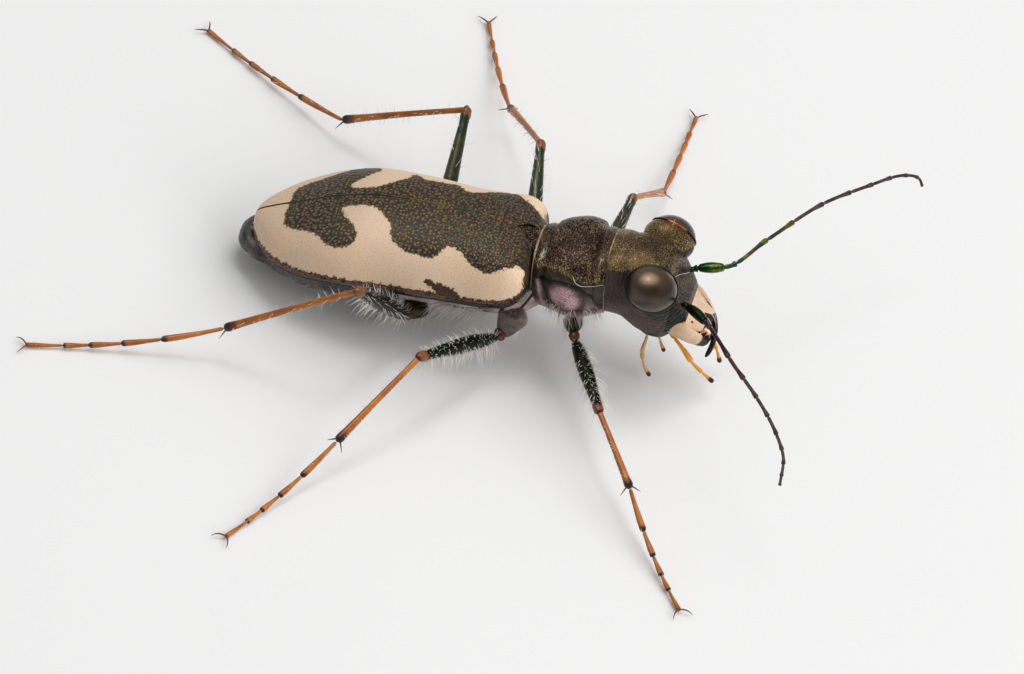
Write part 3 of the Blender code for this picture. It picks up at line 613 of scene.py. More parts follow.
# The cheek's dark lower edge, and the teal below the eye and behind it with its width
CHEEK_EDGE = [(3.05, -0.8), (3.4, -0.85), (3.6, -0.81), (3.95, -0.77), (4.2, -0.66), (4.33, -0.3),
    (4.38, 0.1)]
TEAL_LINES = [([(3.75, -0.12), (4.1, -0.02), (4.33, 0.2), (4.4, 0.45)], 0.12),
              ([(3.0, 0.36), (3.12, 0.22), (3.36, 0.03), (3.6, -0.08)], 0.035)]
HEAD_ROUNDNESS = 2.6
EYE_CENTRES = {"right": (3.78, -1.13, -0.03), "left": (3.78, 1.11, -0.07)}
EYE_RADII = (0.72, 0.63, 0.655)


def head_at(u, v):
    x = HEAD_SPAN[0] + (HEAD_SPAN[1] - HEAD_SPAN[0]) * v
    across, height = oval(2 * np.pi * u, HEAD_ROUNDNESS)
    return x, across, height


def head_place(u, v):
    x, across, height = head_at(u, v)
    middle = along(HEAD_MIDDLE, x)
    reach = np.where(height > 0, along(HEAD_TOP, x) - middle, middle - along(HEAD_BOTTOM, x))
    width = along(HEAD_HALF_WIDTH, x)
    top = height > 0
    relief = -0.06 * hump(x, 3.8, 0.4) * hump(across, 0, 0.42) * top
    relief += 0.05 * hump(np.abs(across), 0.78, 0.1) * hump(x, 3.75, 0.45) * top
    relief -= 0.03 * hump(x, 2.95, 0.12) * top
    relief -= 0.04 * hump(line_distance(x, height, [(4.2, -0.15), (3.9, -0.62), (3.3, -0.85)]), 0, 0.05)
    relief += 0.05 * hump(height, -0.75, 0.2) * hump(x, 3.7, 0.45)
    close = closed_ends(v)
    return body_points(x, (width + relief) * across * close, middle + (reach + relief) * height * close)


def head_fields(u, v):
    """The smooth cheek, its dark lower edge, the neck's skin, teal beside the eye, and the crown's gold."""
    x, across, height = head_at(u, v)
    crown_edge = along(CROWN_EDGE, x)
    front = hump(x, 4.55, 0.25) * smooth(height, 0.4, 0.7)
    face = 0.75 * smooth(x, 4.2, 4.38) * smooth(height, 0.75, 0.45)
    patch, edge = (hump(line_distance(x, height, line), 0, width) for line, width in TEAL_LINES)
    crown = 0.54 + 0.55 * hump(np.abs(across), 0.68, 0.17) * smooth(x, 2.9, 3.2) + 0.15 * hump(x, 2.6, 0.25)
    dark = (0.45 * hump(across, 0.1, 0.25) * hump(x, 3.55, 0.35)
            + 0.4 * hump(np.abs(across), 0.45, 0.15) * hump(x, 4.1, 0.12))
    return {
        "side": np.clip(smooth(height, crown_edge + 0.04, crown_edge - 0.06) * (1 - front), 0, 1),
        "edge": np.maximum(hump(line_distance(x, height, CHEEK_EDGE), 0, 0.12), face),
        "neck": smooth(x, 2.92, 2.78) * smooth(height, -0.5, -0.68),
        "rim": np.clip(patch + 0.8 * edge, 0, 1),
        "gold": crown * smooth(x, 4.45, 4.15) - dark - 1.3 * smooth(x, 4.2, 4.5),
    }


def head_material():
    made = granular_bronze("head_bronze", 29.0)
    tree = made.node_tree
    shader = tree.nodes["Principled BSDF"]
    where = in_millimetres(tree)
    centre = from_body(np.array(EYE_CENTRES["right"]))
    offset = vector("SUBTRACT", where, tuple(centre))
    reach = vector("LENGTH", vector("MULTIPLY", offset, (1.0, 0.25, 1.0)), output="Value")
    wobble = noise(where, 2.6, 4.0)
    streak = rise(maths("SINE", times_plus(reach, 62.0, times(wobble, 22.0))), -1.0, 1.0)
    broken = rise(noise(where, 5.0, 3.0), 0.35, 0.65, 0.15, 1.0)
    low = rise(axis(where, 2), centre[2] - 0.75, centre[2] - 1.15)
    speckle = noise(where, 12.0, 2.0)
    teal = mix(rise(noise(where, 4.0, 2.0), 0.4, 0.6), (0.012, 0.07, 0.064), (0.075, 0.06, 0.02))
    teal = mix(rise(speckle, 0.4, 0.62, 0.0, 0.7), teal, (0.016, 0.014, 0.013))
    edge = mix(rise(speckle, 0.53, 0.66, 0.0, 0.7), (0.007, 0.009, 0.009), (0.1, 0.12, 0.035))
    cheek = coated(
        mix(times(streak, broken), (0.03, 0.021, 0.018), (0.064, 0.046, 0.04)),
        (rise(noise(where, 1.2, 3.0), 0.42, 0.66, 0.0, 0.6), (0.078, 0.052, 0.05)),
        (times(low, rise(wobble, 0.3, 0.6, 0.5, 1.0)), (0.1, 0.066, 0.064)),
        (attribute(tree, "neck"), (0.15, 0.175, 0.17)),
        (rise(attribute(tree, "rim"), 0.35, 0.9), teal),
        (rise(attribute(tree, "edge"), 0.35, 0.7), edge))
    mixer = shader.inputs["Base Color"].links[0].from_node
    tree.links.new(cheek, mixer.inputs[7])
    bump = shader.inputs["Normal"].links[0].from_node
    grains = bump.inputs["Height"].links[0].from_socket
    side = attribute(tree, "side")
    tree.links.new(times_plus(times(streak, side), 0.8, grains),
                   bump.inputs["Height"])
    return made


head = sheet("head_capsule", 170, 130, head_place, head_fields)
head_finish = head_material()
belong(head, head_finish, "bronze_cuticle", "head")

# The compound eyes.
# Each is a smooth brown grey globe of very fine facets that bulges from the side of the head, its top painted
# tan as a reflection, held by a narrow black rim with a green metallic edge on the right and a painted red
# and gold highlight on the left.
eye_material, eye_tree, eye_shader = new_material(
    "compound_eye", roughness=0.38, metallic=1.0, coat_weight=0.6, coat_roughness=0.24)
eye_where = in_millimetres(eye_tree)
facets = cells(eye_where, 30.0, 0.15)[0]
eye_middle = from_body(np.array(EYE_CENTRES["right"]))[2]
# Dark brown with facets, and a tan top that is a painted reflection of the light from above.
feed(eye_shader, base_color=coated(
    mix(rise(noise(eye_where, 1.4, 2.0), 0.35, 0.65), (0.058, 0.036, 0.025), (0.09, 0.058, 0.04)),
    (rise(facets, 0.15, 0.5, 0.0, 0.35), (0.026, 0.019, 0.016)),
    (rise(axis(eye_where, 2), eye_middle + 0.25, eye_middle + 0.6, 0.0, 0.5), (0.26, 0.17, 0.105))))
add_bump(eye_shader, facets, 0.002, 0.5)
# Each rim faces outwards, is a share of the globe wide and sits inwards or outwards of its middle
EYE_RIMS = {"right": ((0.12, -0.72, 0.62), 0.985, -1), "left": ((0.3, 0.88, 0.36), 0.95, 1)}
RIM_RADIUS = {"right": 0.075, "left": 0.055}
RIM_METALS = {
    "right": [(0.5, (0.004, 0.004, 0.005)), (0.6, (0.008, 0.035, 0.038)), (0.7, (0.006, 0.01, 0.008))],
    "left": [(0.4, (0.3, 0.05, 0.03)), (0.5, (0.6, 0.16, 0.05)), (0.62, (0.45, 0.33, 0.07))],
}
# Middle of the left rim's red and gold length, a painted highlight; away from it the rim is dark
RIM_SHINE = (3.98, 1.04, 0.55)
SOCKET_SPREAD = math.radians(75.0)
SOCKET_SWELL = 0.07
BODY_MATRIX = (Matrix.Translation(Vector(BODY_PLACE) * MM) @ Matrix.Translation((0, 0, BODY_HEIGHT * MM))
               @ Matrix.Rotation(-BODY_PITCH, 4, "Y"))


def settle(piece, matrix):
    """Puts a primitive's place, turn and size into its mesh, so that its object stays at the origin."""
    piece.data.transform(matrix)
    piece.matrix_world = Matrix.Identity(4)
    if matrix.determinant() < 0:
        piece.data.flip_normals()
    piece.data.shade_smooth()


for side_name, (facing, rim_share, rim_side) in EYE_RIMS.items():
    deselect()
    bpy.ops.mesh.primitive_uv_sphere_add(segments=72, ring_count=48, radius=1.0)
    globe = bpy.context.object
    globe.name = globe.data.name = "compound_eye_" + side_name
    eye_place = (BODY_MATRIX @ Matrix.Translation(Vector(EYE_CENTRES[side_name]) * MM)
                 @ Matrix.Diagonal((*[r * MM for r in EYE_RADII], 1.0)))
    settle(globe, eye_place)
    belong(globe, eye_material, "eye", "eye_" + side_name)
    deselect()
    bpy.ops.mesh.primitive_torus_add(major_segments=96, minor_segments=12, major_radius=rim_share,
                                     minor_radius=RIM_RADIUS[side_name])
    ring = bpy.context.object
    ring.name = ring.data.name = "eye_rim_" + side_name
    facing = Vector(facing).normalized()
    turned = facing.to_track_quat("Z", "Y").to_matrix().to_4x4()
    rim_place = eye_place @ Matrix.Translation(facing * rim_side * math.sqrt(1 - rim_share ** 2)) @ turned
    settle(ring, rim_place)
    rim_metal, rim_tree, rim_shader = new_material("eye_rim_" + side_name, roughness=0.3, metallic=0.8)
    rim_tone = noise(in_millimetres(rim_tree), 1.6, 2.0)
    rim_colour = ramp(rim_tone, RIM_METALS[side_name])
    if side_name == "left":
        # The left rim's red and gold is a painted highlight round RIM_SHINE; elsewhere the rim is dark.
        away = vector("DISTANCE", in_millimetres(rim_tree), tuple(from_body(RIM_SHINE)), "Value")
        rim_colour = mix(rise(away, 0.22, 0.36), rim_colour, (0.022, 0.014, 0.012))
    feed(rim_shader, base_color=rim_colour)
    belong(ring, rim_metal, "bronze_cuticle")
    rim_angle = math.acos(rim_side * math.sqrt(1 - rim_share ** 2))

    def socket_place(u, v):
        angle = rim_angle + SOCKET_SPREAD * v
        reach = 1.0 + SOCKET_SWELL * smooth(v, 0.0, 0.35)
        out = reach * np.sin(angle)
        turn = 2 * np.pi * u
        local = np.stack([out * np.cos(turn), out * np.sin(turn), reach * np.cos(angle)], -1)
        matrix = np.array(eye_place @ turned)
        return (local @ matrix[:3, :3].T + matrix[:3, 3]) / MM

    def socket_fields(u, v):
        heights = socket_place(u, v)[:, 2] - from_body(np.array(EYE_CENTRES[side_name]))[2]
        return {"side": smooth(heights, 0.25, 0.05), "gold": 0.75 - 0.5 * smooth(v, 0.1, 0.0), "rim": 0}

    socket = sheet("eye_socket_" + side_name, 90, 30, socket_place, socket_fields, closed=False)
    belong(socket, head_finish, "bronze_cuticle")

# The elytra.
# The hardened fore wings close over the hind body in one seam. Each is a thin dome with a fine bead along
# the seam and a folded lower edge. They are dark with metallic pits, and marked in cream.
ELYTRA_SPAN = (0.23, -8.06)
ELYTRA_TOP = [(-8.06, -1.3), (-8.0, -1.12), (-7.5, -0.8), (-6.7, -0.42), (-5.6, 0.08), (-4.4, 0.42),
    (-2.5, 0.52), (-1.2, 0.46), (-0.3, 0.28), (0.02, 0.08), (0.12, -0.08), (0.19, -0.3), (0.23, -0.62)]
ELYTRA_HALF_WIDTH = [(-8.06, 0.14), (-8.03, 0.3), (-7.96, 0.5), (-7.85, 0.72), (-7.5, 1.15), (-6.9, 1.62),
    (-6.0, 1.98), (-4.8, 2.12), (-3.0, 2.02), (-1.4, 1.92), (-0.9, 1.93), (-0.4, 1.9), (-0.1, 1.79),
    (0.05, 1.68), (0.14, 1.54), (0.2, 1.38), (0.23, 1.15)]
ELYTRA_MARGIN = [(-8.06, -1.46), (-7.5, -1.5), (-6.7, -1.42), (-5.2, -1.2), (-3.8, -1.12), (-1.6, -1.15),
    (-0.3, -1.0), (0.14, -0.8), (0.23, -0.7)]
ELYTRA_ROUNDNESS = [(-8.06, 2.3), (-2.0, 2.3), (-1.0, 2.6), (-0.4, 3.0), (0.23, 3.0)]
SEAM_EDGE = [(-8.06, 0.008), (-0.49, 0.012), (-0.34, 0.07), (-0.2, 0.2), (-0.05, 0.32), (0.14, 0.37),
    (0.23, 0.4)]
ELYTRON_THICKNESS = 0.06
ELYTRON_ROWS, ELYTRON_COLUMNS, PROFILE_STEPS = 170, 96, 240
BEAD_RADIUS = 0.035
FOLD = [(0.0, -0.08), (-0.02, -0.17), (-0.08, -0.26), (-0.24, -0.29)]
# Outlines on the surface as (x, way from the seam) points: the dark field, and the smudge near the margin
DARK_FIELD = [(0.5, -0.4), (0.5, 1.28), (0.02, 1.29), (-0.22, 1.49), (-0.54, 1.71), (-0.78, 1.86),
    (-1.04, 1.85), (-1.28, 1.76), (-1.52, 1.59), (-1.7, 1.42), (-1.92, 1.32), (-2.14, 1.33), (-2.32, 1.61),
    (-2.48, 1.78), (-2.96, 1.75), (-3.24, 1.73), (-3.54, 1.62), (-3.78, 1.36), (-3.8, 1.02), (-4.2, 0.64),
    (-4.48, 0.45), (-5.12, 0.42), (-5.48, 0.52), (-5.02, 1.05), (-4.72, 1.38), (-4.76, 1.72), (-5.06, 1.84),
    (-5.4, 1.8), (-5.62, 1.67), (-5.82, 1.44), (-6.26, 1.18), (-6.94, 0.97), (-7.06, 0.6), (-7.06, -0.4)]
SMUDGE = [(-2.65, 2.5), (-2.48, 2.38), (-2.3, 2.52), (-2.1, 2.42), (-1.95, 2.56), (-1.8, 2.5),
    (-1.64, 2.64), (-1.55, 2.95), (-1.95, 2.95), (-2.3, 2.72)]


def apply(piece, kind, **settings):
    """Adds one modifier and applies it."""
    change = piece.modifiers.new(kind.lower(), kind)
    for key, value in settings.items():
        setattr(change, key, value)
    select_only(piece)
    bpy.ops.object.modifier_apply(modifier=change.name)


def cut_corners(outline, rounds=2):
    """Rounds a closed outline by cutting its corners."""
    points = np.array(outline, float)
    for _ in range(rounds):
        after = np.roll(points, -1, axis=0)
        points = np.stack([points * 0.75 + after * 0.25, points * 0.25 + after * 0.75], 1).reshape(-1, 2)
    return points


def outside_distance(x, y, outline):
    """Distance from a closed outline, positive outside it and negative inside."""
    points = cut_corners(outline)
    away = line_distance(x, y, np.vstack([points, points[:1]]))
    inside = np.zeros(np.shape(x), bool)
    for (ax, ay), (bx, by) in zip(points, np.roll(points, -1, axis=0)):
        if ay != by:
            crosses = ((ay > y) != (by > y)) & (x < (bx - ax) * (y - ay) / (by - ay) + ax)
            inside ^= crosses
    return np.where(inside, -away, away)


def elytron_table():
    """Rows of the right-hand profile: x, y, z, the way from the seam and the margin's way."""
    front, rear = ELYTRA_SPAN
    stations = front + (rear - front) * end_spaced(np.linspace(0, 1, ELYTRON_ROWS + 1))
    turn = np.linspace(0, math.pi / 2, PROFILE_STEPS)
    bend = np.radians([60, 20, -20, -60])
    rows = []
    for x in stations:
        half, top, margin, inner, roundness = (along(k, np.array([x]))[0] for k in (
            ELYTRA_HALF_WIDTH, ELYTRA_TOP, ELYTRA_MARGIN, SEAM_EDGE, ELYTRA_ROUNDNESS))
        inner = min(inner, half * 0.3)
        share = min(1.0, half / 1.0)
        fold_y, fold_z = share * np.array(FOLD).T
        y = inner + (half - inner) * np.sin(turn) ** (2 / roundness)
        z = margin + (top - margin) * np.maximum(np.cos(turn), 0) ** (2 / roundness)
        y = np.concatenate([y, half - 0.01 + BEAD_RADIUS * share * np.cos(bend), half + fold_y])
        z = np.concatenate([z, margin - 0.03 + BEAD_RADIUS * share * np.sin(bend), margin + fold_z])
        way = np.concatenate([[0], np.cumsum(np.hypot(np.diff(y), np.diff(z)))])
        even = np.linspace(0, way[-1], ELYTRON_COLUMNS + 1)
        same = np.ones(even.shape)
        rows.append(np.stack([x * same, np.interp(even, way, y), np.interp(even, way, z), even + inner,
                              (way[PROFILE_STEPS - 1] + inner) * same], -1))
    return np.array(rows)


elytron_rows = elytron_table()


def on_elytron(u, v):
    """x, y, z, the way from the seam and the margin's way at each point of the grid."""
    row, column = np.rint(u * ELYTRON_ROWS).astype(int), np.rint(v * ELYTRON_COLUMNS).astype(int)
    return elytron_rows[row, column].T


def elytron_relief(x, way, margin):
    """The shoulder swells, the base sinks beside it, and a bead follows the seam."""
    relief = 0.05 * hump(x, -0.4, 0.35) * hump(way, 1.55, 0.35)
    relief -= 0.035 * hump(x, -0.55, 0.4) * hump(way, 0.95, 0.3)
    relief += 0.012 * hump(way, 0.02, 0.025)
    relief += 0.008 * np.sin(x * 2.3 + way * 1.7) * np.sin(way * 2.9 - x * 0.9)
    return relief * (way < margin - 0.1)


def elytron_material():
    """Dark ground with a metallic pit in each cell, and cream where the cream field says so."""
    made, tree, shader = new_material("elytron", specular_ior_level=0.25)
    where = add("UVMap", {}, tree, uv_map="UVMap").outputs[0]
    near, chance, middle = cells(where, 8.8, 0.75, voronoi_dimensions="2D")
    slope = vector("DOT_PRODUCT", vector("SUBTRACT", where, middle), (0.75, 0.65, 0.0), "Value")
    place = axis(where, 0)
    rear = rise(place, -1.2, -3.2)
    tint = times_plus(slope, 9.0, times_plus(chance[0], 0.5, 0.25))
    tint = times_plus(maths("SUBTRACT", 0.5, tint), times(rear, 0.4), tint)
    metal = ramp(tint, [(0.0, (0.04, 0.145, 0.08)), (0.25, (0.12, 0.15, 0.045)), (0.5, (0.25, 0.17, 0.06)),
                        (0.75, (0.33, 0.15, 0.065)), (1.0, (0.34, 0.09, 0.07))])
    reach = times_plus(chance[1], 0.16, times_plus(rear, 0.06, 0.28))
    pit = times(rise(maths("DIVIDE", near, reach), 1.0, 0.45), rise(chance[2], 0.0, 1.0, 0.55, 1.0))
    spark_near, spark_chance, _ = cells(where, 24.0, voronoi_dimensions="2D")
    spark_metal = ramp(spark_chance[0], [(0.0, (0.04, 0.2, 0.12)), (0.4, (0.12, 0.16, 0.04)),
                                         (0.7, (0.3, 0.1, 0.06)), (1.0, (0.1, 0.05, 0.09))])
    spark = times(rise(spark_chance[1], 0.6, 0.75), rise(place, -3.6, -0.4, 0.25, 1.0))
    spark = times(spark, rise(spark_near, 0.55, 0.25))
    dark = coated(
        mix(rise(noise(where, 0.9, 2.0), 0.4, 0.6), (0.017, 0.012, 0.014), (0.024, 0.017, 0.015)),
        (rise(noise(where, 26.0, 2.0), 0.45, 0.75, 0.0, 0.5), (0.045, 0.033, 0.042)),
        (spark, spark_metal),
        (pit, metal),
        (times(attribute(tree, "smudge"), rise(near, 0.1, 0.4, 0.9, 0.4)), (0.06, 0.031, 0.018)))
    ragged = times_plus(near, 0.13, maths("ADD", attribute(tree, "cream"), -0.055))
    share = rise(ragged, -0.012, 0.016)
    freckle_near, freckle_chance, _ = cells(where, 10.5, 0.9, voronoi_dimensions="2D")
    freckle = times(rise(freckle_near, 0.25, 0.1), rise(freckle_chance[0], 0.05, 0.85, 0.06, 0.5))
    cream = coated(
        mix(rise(noise(where, 0.8, 3.0), 0.35, 0.65), (0.8, 0.58, 0.385), (0.76, 0.56, 0.415)),
        (freckle, (0.42, 0.27, 0.165)),
        (rise(ragged, 0.06, 0.0, 0.0, 0.35), (0.36, 0.2, 0.1)))
    # The margin: a copper line, and below it the black fold, painted grey violet as a reflection
    margin = attribute(tree, "margin")
    copper = ramp(noise(where, 7.0, 1.0), [(0.38, (0.025, 0.018, 0.016)), (0.46, (0.42, 0.1, 0.04)),
                                           (0.56, (0.24, 0.12, 0.04)), (0.66, (0.05, 0.05, 0.02))])
    line = times(rise(margin, -0.02, 0.0), rise(margin, 0.034, 0.022))
    # The fold is black and glossy; its grey violet colour is a painted reflection, at full strength towards
    # the rear.
    fold = times(rise(margin, -0.02, -0.04), rise(margin, -0.14, -0.11))
    fold = times(fold, rise(place, -1.5, -2.3, 0.1, 1.0))
    # The bead along the seam: dotted metal, with a teal line beside it
    seam, bead = attribute(tree, "seam_way"), attribute(tree, "bead")
    beside = times(rise(seam, 0.026, 0.034), rise(seam, 0.065, 0.05))
    beside = times(beside, times(rise(place, -0.6, -0.4), bead))
    along_seam = ramp(times_plus(place, 0.125, 1.0), [
        (0.0, (0.02, 0.02, 0.02)), (0.45, (0.03, 0.035, 0.02)), (0.6, (0.2, 0.17, 0.04)),
        (0.8, (0.05, 0.12, 0.05)), (0.94, (0.45, 0.15, 0.07)), (1.0, (0.45, 0.15, 0.07))])
    dotted = times(rise(noise(where, 9.0, 1.0), 0.45, 0.6), 0.8)
    seam_mask = times(rise(seam, 0.032, 0.02), bead)
    feed(shader, base_color=coated(
        mix(share, dark, cream), (line, copper), (rise(margin, -0.01, -0.03), (0.012, 0.012, 0.013)),
        (fold, (0.125, 0.11, 0.125)), (beside, (0.008, 0.045, 0.045)),
        (seam_mask, mix(dotted, along_seam, (0.045, 0.022, 0.016)))))
    metallic = times(maths("MAXIMUM", pit, spark), maths("SUBTRACT", 1.0, share))
    metallic = maths("MAXIMUM", metallic, maths("MAXIMUM", line, seam_mask))
    feed(shader, metallic=times(maths("MAXIMUM", metallic, fold), 0.85))
    feed(shader, roughness=times(rise(share, 0.0, 1.0, 0.42, 0.5), rise(margin, -0.03, 0.0, 0.45, 1.0)))
    add_bump(shader, times(rise(near, 0.1, 0.45), rise(share, 0.0, 1.0, 1.0, 0.12)), 0.02, 0.8)
    return made


elytron_finish = elytron_material()
for side_name, side in SIDES.items():
    def elytron_place(u, v):
        x, y, z, way, margin = on_elytron(u, v)
        relief = elytron_relief(x, way, margin)
        lean = np.clip(way / margin, 0, 1) ** 2
        return body_points(x, side * (y + relief * lean), z + relief * (1 - lean))

    def elytron_fields(u, v):
        """The cream bands, the brown smudge, the metal bead, and the ways from the margin and the seam."""
        x, _, _, way, margin = on_elytron(u, v)
        fray = 0.022 * np.sin(x * 27.0 + 3 * np.sin(x * 3.1 + side)) + 0.018 * np.sin(x * 61.0 + 2 * side)
        strip = margin - way - 0.12 - 1.4 * np.maximum(fray, -0.02) * smooth(x, -0.5, -1.2)
        moved = way
        if side > 0:
            moved = way + 0.62 * smooth(x, -3.8, -3.3) - 0.17 * smooth(x, -2.7, -2.0)
            moved = moved + 0.13 * smooth(x, -4.2, -4.8)
        dark, smudge = (outside_distance(x, moved, outline) for outline in (DARK_FIELD, SMUDGE))
        return {
            "cream": np.minimum.reduce([dark, smudge, strip, 0.16 - x]),
            "smudge": smooth(outside_distance(x, way, SMUDGE), 0.08, -0.02),
            "bead": smooth(x, -0.3, -0.6) if side > 0 else 1,
            "margin": margin - way,
            "seam_way": way - along(SEAM_EDGE, x),
        }

    elytron = sheet("elytron_shell_" + side_name, ELYTRON_ROWS, ELYTRON_COLUMNS, elytron_place,
                    elytron_fields, closed=False, plan=lambda u, v: on_elytron(u, v)[[0, 3]])
    apply(elytron, "SOLIDIFY", thickness=ELYTRON_THICKNESS * MM, offset=-1)
    belong(elytron, elytron_finish, "elytra", "elytron_" + side_name)

# The shield between the elytra and the skins of the neck.
# The scutellum is a small bronze triangle let in between the bases of the elytra. A pale tan skin joins
# the rings of the body, and shows as a thin line at each rim of the prothorax.
SCUTELLUM_BASE, SCUTELLUM_TIP = 0.2, -0.46
SCUTELLUM_HALF_WIDTH = 0.44
SCUTELLUM_HEIGHT = [(-0.46, 0.28), (-0.2, 0.2), (0.0, 0.11), (0.2, 0.0)]
SCUTELLUM_THICKNESS = 0.25
SKIN_SUNK = 0.03
RIM_SKINS = [("skin_behind_prothorax", 0.25, 0.05), ("skin_before_prothorax", 2.36, 0.032)]


def scutellum_place(u, v):
    x = SCUTELLUM_BASE + (SCUTELLUM_TIP - SCUTELLUM_BASE) * v
    across = 2 * u - 1
    y = across * (0.02 + SCUTELLUM_HALF_WIDTH * (1 - v) ** 0.8)
    z = along(SCUTELLUM_HEIGHT, x) - 0.05 * across ** 2 - 0.02 * hump(v, 0.3, 0.2)
    return body_points(x, y, z)


scutellum = sheet("scutellum_shield", 24, 24, scutellum_place, {"side": 0}, closed=False)
apply(scutellum, "SOLIDIFY", thickness=SCUTELLUM_THICKNESS * MM, offset=-1)
belong(scutellum, bronze, "bronze_cuticle")

tan_skin, skin_tree, skin_shader = new_material("tan_skin", roughness=0.5)
skin_folds = noise(in_millimetres(skin_tree), 9.0, 3.0)
feed(skin_shader, base_color=mix(rise(skin_folds, 0.35, 0.65), (0.16, 0.1, 0.055), (0.42, 0.3, 0.19)))
add_bump(skin_shader, skin_folds, 0.01)
for skin_name, skin_x, skin_radius in RIM_SKINS:
    def skin_place(u, v):
        across, height = oval(2 * np.pi * u, PROTHORAX_ROUNDNESS)
        x = np.full(u.shape, skin_x)
        radius = skin_radius * (0.35 + 0.65 * smooth(height, 0.72, 0.96))
        out = radius * np.cos(2 * np.pi * v)
        return body_points(x + rim_bow(x, across) + radius * np.sin(2 * np.pi * v),
                           (along(PROTHORAX_HALF_WIDTH, x) - SKIN_SUNK + out) * across,
                           PROTHORAX_MIDDLE + (prothorax_reach(x, height) - SKIN_SUNK + out) * height)
    skin = sheet(skin_name, 120, 10, skin_place)
    belong(skin, tan_skin, "bronze_cuticle")

# The face plate and the upper lip.
# The clypeus is a narrow dark plate with a blue sheen. The labrum hinges on it, a cream shield that hangs
# over the jaws, with a dark tooth in the middle of its front edge and a row of pale bristles.
CLYPEUS_SPAN = (4.38, 4.76)
CLYPEUS_TOP = [(4.38, -0.42), (4.6, -0.95), (4.76, -1.27)]
CLYPEUS_HALF_WIDTH = [(4.38, 0.72), (4.76, 0.8)]
LABRUM_BASE = (4.68, -1.28)
LABRUM_HALF_WIDTH = 0.8
LABRUM_LENGTH = 0.66
LABRUM_DROP = 0.46
LABRUM_THICKNESS = 0.07


def clypeus_place(u, v):
    x = CLYPEUS_SPAN[0] + (CLYPEUS_SPAN[1] - CLYPEUS_SPAN[0]) * v
    across, height = oval(2 * np.pi * u, 2.8)
    close = closed_ends(v)
    thick = 0.3 - 0.22 * smooth(v, 0.5, 1.0)
    return body_points(x, along(CLYPEUS_HALF_WIDTH, x) * across * close,
                       along(CLYPEUS_TOP, x) - thick + thick * height * close - 0.05 * across ** 2)


def labrum_reach(across):
    """Length of the shield to its front edge, with a middle tooth and two low ones each side."""
    reach = LABRUM_LENGTH * (1 - 0.62 * np.abs(across) ** 3)
    return reach + 0.14 * hump(across, 0, 0.12) + 0.05 * hump(np.abs(across), 0.32, 0.07)


def labrum_place(u, v):
    across = 2 * u - 1
    x = LABRUM_BASE[0] + labrum_reach(across) * v * (1.12 - 0.12 * v)
    y = across * LABRUM_HALF_WIDTH * (1 - 0.14 * v)
    z = (LABRUM_BASE[1] - LABRUM_DROP * v ** 1.1 - 0.1 * across ** 2 * (1 + v)
         - 0.1 * hump(across, 0, 0.15) * v ** 3)
    return body_points(x, y, z)


def labrum_stain(u, v):
    across = 2 * u - 1
    patch = smooth(v - 0.59 - np.maximum(-0.64 * (across + 0.09), 1.4 * (across + 0.09)), -0.03, 0.03)
    edge = smooth(v, 0.95, 1.0) * 0.6
    spot = hump(np.hypot((np.abs(across) - 0.76) * LABRUM_HALF_WIDTH, (v - 0.4) * 0.5), 0, 0.035)
    return np.clip(patch * 1.2 + edge + spot, 0, 1)


def stained_horn(name, pale, dark, **sockets):
    """Pale horn that darkens by the stain field, with faint brown specks."""
    made, tree, shader = new_material(name, **sockets)
    where = in_millimetres(tree)
    mottle = noise(where, 3.0, 3.0)
    specks = cells(where, 14.0)[0]
    share = times_plus(maths("SUBTRACT", mottle, 0.5), 0.25, attribute(tree, "stain"))
    middle = tuple(math.sqrt(a * b) * f for a, b, f in zip(pale, dark, (1.6, 1.0, 0.7)))
    feed(shader, base_color=coated(
        pale,
        (rise(mottle, 0.35, 0.7), tuple(c * f for c, f in zip(pale, (0.86, 0.8, 0.74)))),
        (rise(specks, 0.16, 0.05, 0.0, 0.5), tuple(c * 0.4 for c in pale)),
        (rise(share, 0.25, 0.5), middle),
        (rise(share, 0.5, 0.8), dark)))
    add_bump(shader, mottle, 0.01, 0.5)
    return made


face_plate, face_tree, face_shader = new_material("face_plate", roughness=0.3, metallic=0.5)
face_grain = noise(in_millimetres(face_tree), 6.0, 4.0)
feed(face_shader, base_color=mix(rise(face_grain, 0.4, 0.65), (0.01, 0.009, 0.01), (0.03, 0.037, 0.04)))
add_bump(face_shader, face_grain, 0.015)
belong(sheet("clypeus_plate", 60, 14, clypeus_place), face_plate, "bronze_cuticle")
labrum = sheet("labrum_shield", 72, 30, labrum_place, {"stain": labrum_stain}, closed=False)
apply(labrum, "SOLIDIFY", thickness=LABRUM_THICKNESS * MM, offset=-1)
labrum_horn = stained_horn("labrum_horn", (0.75, 0.54, 0.38), (0.03, 0.012, 0.008),
                           roughness=0.35, coat_weight=0.3, coat_roughness=0.2)
belong(labrum, labrum_horn, "cream_mouthparts", "labrum")

# The mandibles.
# Two sickle jaws of cream horn that cross in front. Their inner edges are toothed, and teeth and points
# are nearly black.
MANDIBLES = {
    "right": [(4.1, -0.84, -1.55, 0.2), (4.38, -0.87, -1.58, 0.26), (4.65, -0.86, -1.69, 0.265),
        (4.85, -0.82, -1.83, 0.235), (5.03, -0.7, -2.02, 0.195), (5.17, -0.5, -2.27, 0.155),
        (5.26, -0.25, -2.48, 0.12), (5.31, -0.03, -2.53, 0.075), (5.34, 0.12, -2.47, 0.015)],
    "left": [(4.1, 0.84, -1.55, 0.2), (4.38, 0.86, -1.58, 0.24), (4.7, 0.82, -1.66, 0.22),
        (4.95, 0.72, -1.82, 0.18), (5.15, 0.58, -2.02, 0.17), (5.31, 0.42, -2.27, 0.16),
        (5.41, 0.17, -2.46, 0.14), (5.43, -0.07, -2.63, 0.13), (5.39, -0.3, -2.75, 0.115),
        (5.31, -0.5, -2.87, 0.06)],
}
